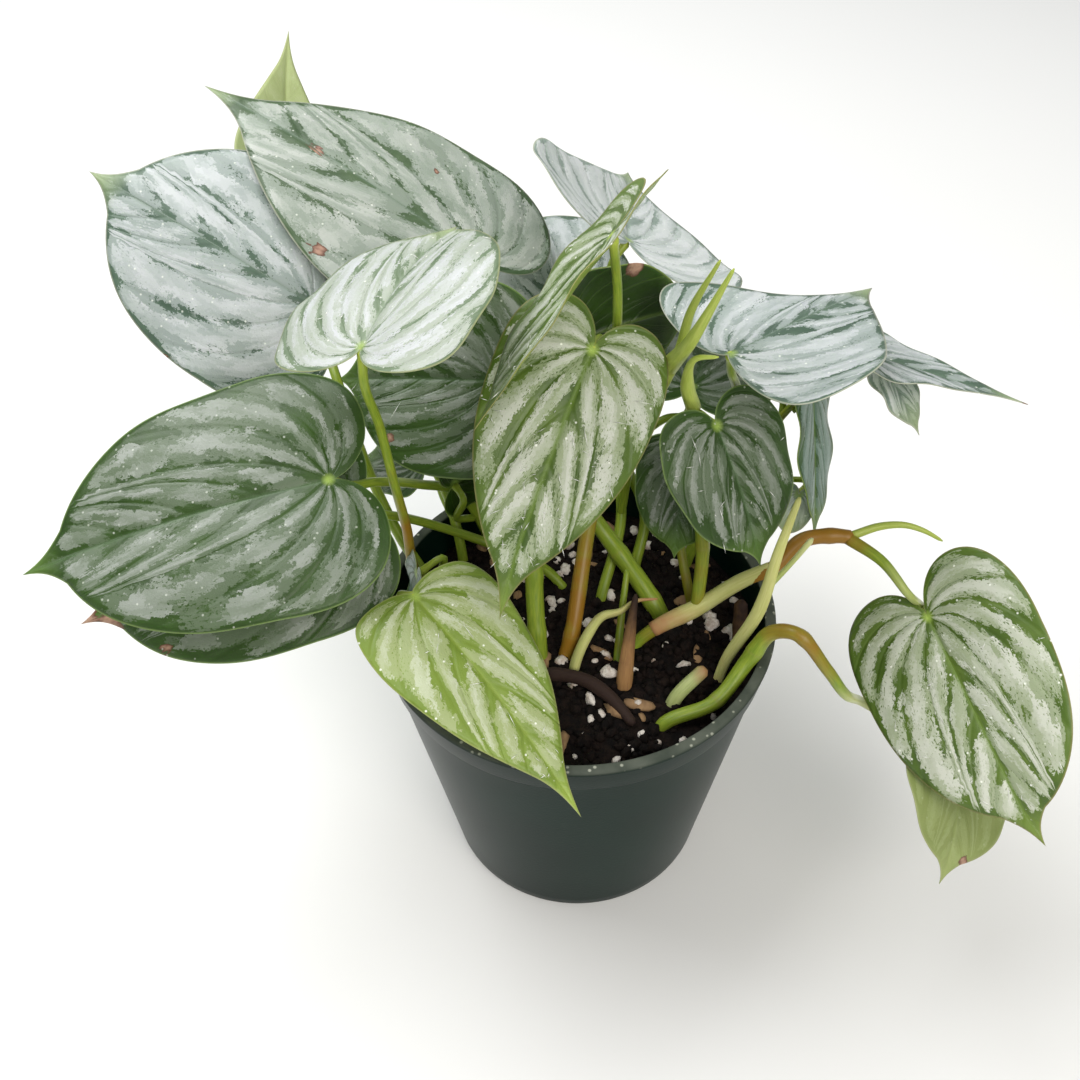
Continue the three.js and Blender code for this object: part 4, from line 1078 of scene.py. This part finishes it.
# Cut stem: its skin has dried to a pale grey-green, and its cut end to brown.
pale_skin = stalk_skin("pale_cut_stem", "#8f9f5c", "#bcc287", "#a07a54", "#cdd3a4", "#5b3a28", 0.5)
CUT_STUB = stalk([(25, -25, 72), (26, -24, 84), (34, -19, 91)], (1.9, 1.9, 1.8), bronze=(0, 0, 0, 0, 0.9))
make_stem("stub_cut_stem", [tube(CUT_STUB)], pale_skin, ["stub_cut"])


# Threads of dried sap and lint lie on the younger blades, and short white rootlets stand out below the vine.
# Both are strands about a fifth of a millimetre thick, stuck on or grown out where they start.
THREAD_RADIUS = 0.11
THREADS = {
    "leaf_front": 64, "leaf_centre_high": 18, "leaf_trailing": 26, "leaf_front_left": 26,
    "leaf_small_right": 14, "leaf_young_left": 12, "leaf_mid_left": 8,
}
THREAD_LENGTH = (1, 2.2)
THREAD_LIFT = 0.45
ROOTLET_RADIUS = 0.08
ROOTLET_LENGTH = (0.6, 1.7)
ROOTLETS = 34
ROOTLET_DROP = 1.4
ROOTLET_STRETCH = (0.42, 0.86)


def strand(start, end, radius):
    """A thin spindle between two points, pointed at both ends."""
    ahead = end - start
    side = np.cross(ahead, (0.31, 0.17, 1))
    side /= np.linalg.norm(side)
    other = np.cross(ahead, side) / np.linalg.norm(ahead)
    angles = np.arange(3) * 2 * math.pi / 3
    waist = [(start + end) / 2 + radius * (math.cos(a) * side + math.sin(a) * other) for a in angles]
    return [start, *waist, end], [(0, 2, 1), (0, 3, 2), (0, 1, 3), (4, 1, 2), (4, 2, 3), (4, 3, 1)]


def add_strands(name, strands, material):
    points = np.vstack([one[0] for one in strands])
    faces = [tuple(5 * i + corner for corner in face) for i, one in enumerate(strands) for face in one[1]]
    add_piece(name, points, faces, material)


# Dried sap and lint: white and half matt, so that each thread shows against the green.
lint, place = new_material("dried_sap_and_lint")
lint_colour = add_node(lint, "Mix", {
    0: add_node(lint, "TexNoise", {"Vector": place, "Scale": 900}),
    6: srgb("#eceee6"), 7: srgb("#fafaf6"),
}, output=2, data_type="RGBA")
lint_shader = add_node(lint, "BsdfPrincipled", {"Base Color": lint_colour, "Roughness": 0.5})
add_node(lint, "OutputMaterial", {"Surface": lint_shader})
threads = []
for leaf_name, count in THREADS.items():
    one = leaf_named[leaf_name]
    forward, left, up = blade_axes(one)
    half = half_outline(one["full"], one["lobes"])
    widest = np.argmax(half[:, 1])
    for _ in range(count):
        along = dice.uniform(0.1, 0.85)
        across = dice.uniform(-0.9, 0.9) * np.interp(along, half[widest:, 0], half[widest:, 1])
        start = blade_surface(one, np.array([along]), np.array([across]))[0] + up * THREAD_LIFT
        lean = forward * dice.normal() + left * dice.normal() + up * 0.25
        threads.append(strand(start, start + lean * dice.uniform(*THREAD_LENGTH), THREAD_RADIUS))
add_strands("leaf_threads", threads, lint)
vine, _ = smooth_path(STEMS["stem_right_vine"][0]["points"], STALK_STEP)
rootlets = []
for share in np.linspace(*ROOTLET_STRETCH, ROOTLETS):
    start = vine[round(share * (len(vine) - 1))] - (0, 0, ROOTLET_DROP)
    lean = np.array((dice.normal() * 0.5, dice.normal() * 0.5, -1.2))
    rootlets.append(strand(start, start + lean * dice.uniform(*ROOTLET_LENGTH), ROOTLET_RADIUS))
add_strands("vine_rootlets", rootlets, lint)


# The studio is a plain pale floor under an even white sky. A large soft lamp hangs above and behind the plant
# to its left, and a weaker one above and in front of it fills the shadows.
FLOOR_REACH = 4
floor_corners = [(x * FLOOR_REACH, y * FLOOR_REACH, 0) for x, y in ((-1, -1), (1, -1), (1, 1), (-1, 1))]
floor_mesh = bpy.data.meshes.new("floor")
floor_mesh.from_pydata(floor_corners, [], [(0, 1, 2, 3)])
floor = bpy.data.objects.new("floor", floor_mesh)
scene.collection.objects.link(floor)

# Matt floor paint: near white and faintly uneven, so that it takes soft shadows without glare.
floor_paint, place = new_material("matt_floor_paint")
floor_tone = add_node(floor_paint, "Mix", {
    0: add_node(floor_paint, "TexNoise", {"Vector": place, "Scale": 3}),
    6: srgb("#f1f1ef"), 7: srgb("#ececea"),
}, output=2, data_type="RGBA")
floor_shader = add_node(floor_paint, "BsdfPrincipled", {"Base Color": floor_tone, "Roughness": 0.7})
add_node(floor_paint, "OutputMaterial", {"Surface": floor_shader})
floor_mesh.materials.append(floor_paint)

world = bpy.data.worlds.new("studio")
scene.world = world
world.use_nodes = True
sky = world.node_tree.nodes["Background"]
sky.inputs["Color"].default_value = srgb("#f2f4f5")
sky.inputs["Strength"].default_value = 0.38
for lamp_name, spot, size, power, tint in (
    ("soft_key", (-0.45, 0.35, 1.0), 0.9, 13, "#fdfeff"),
    ("front_fill", (0.35, -0.8, 0.85), 0.8, 9, "#fffaf4"),
):
    lamp_data = bpy.data.lights.new(lamp_name, "AREA")
    lamp_data.size = size
    lamp_data.energy = power
    lamp_data.color = srgb(tint)[:3]
    lamp = bpy.data.objects.new(lamp_name, lamp_data)
    scene.collection.objects.link(lamp)
    lamp.location = spot
    lamp.rotation_euler = (Vector((0, 0, 0.1)) - Vector(spot)).to_track_quat("-Z", "Y").to_euler()
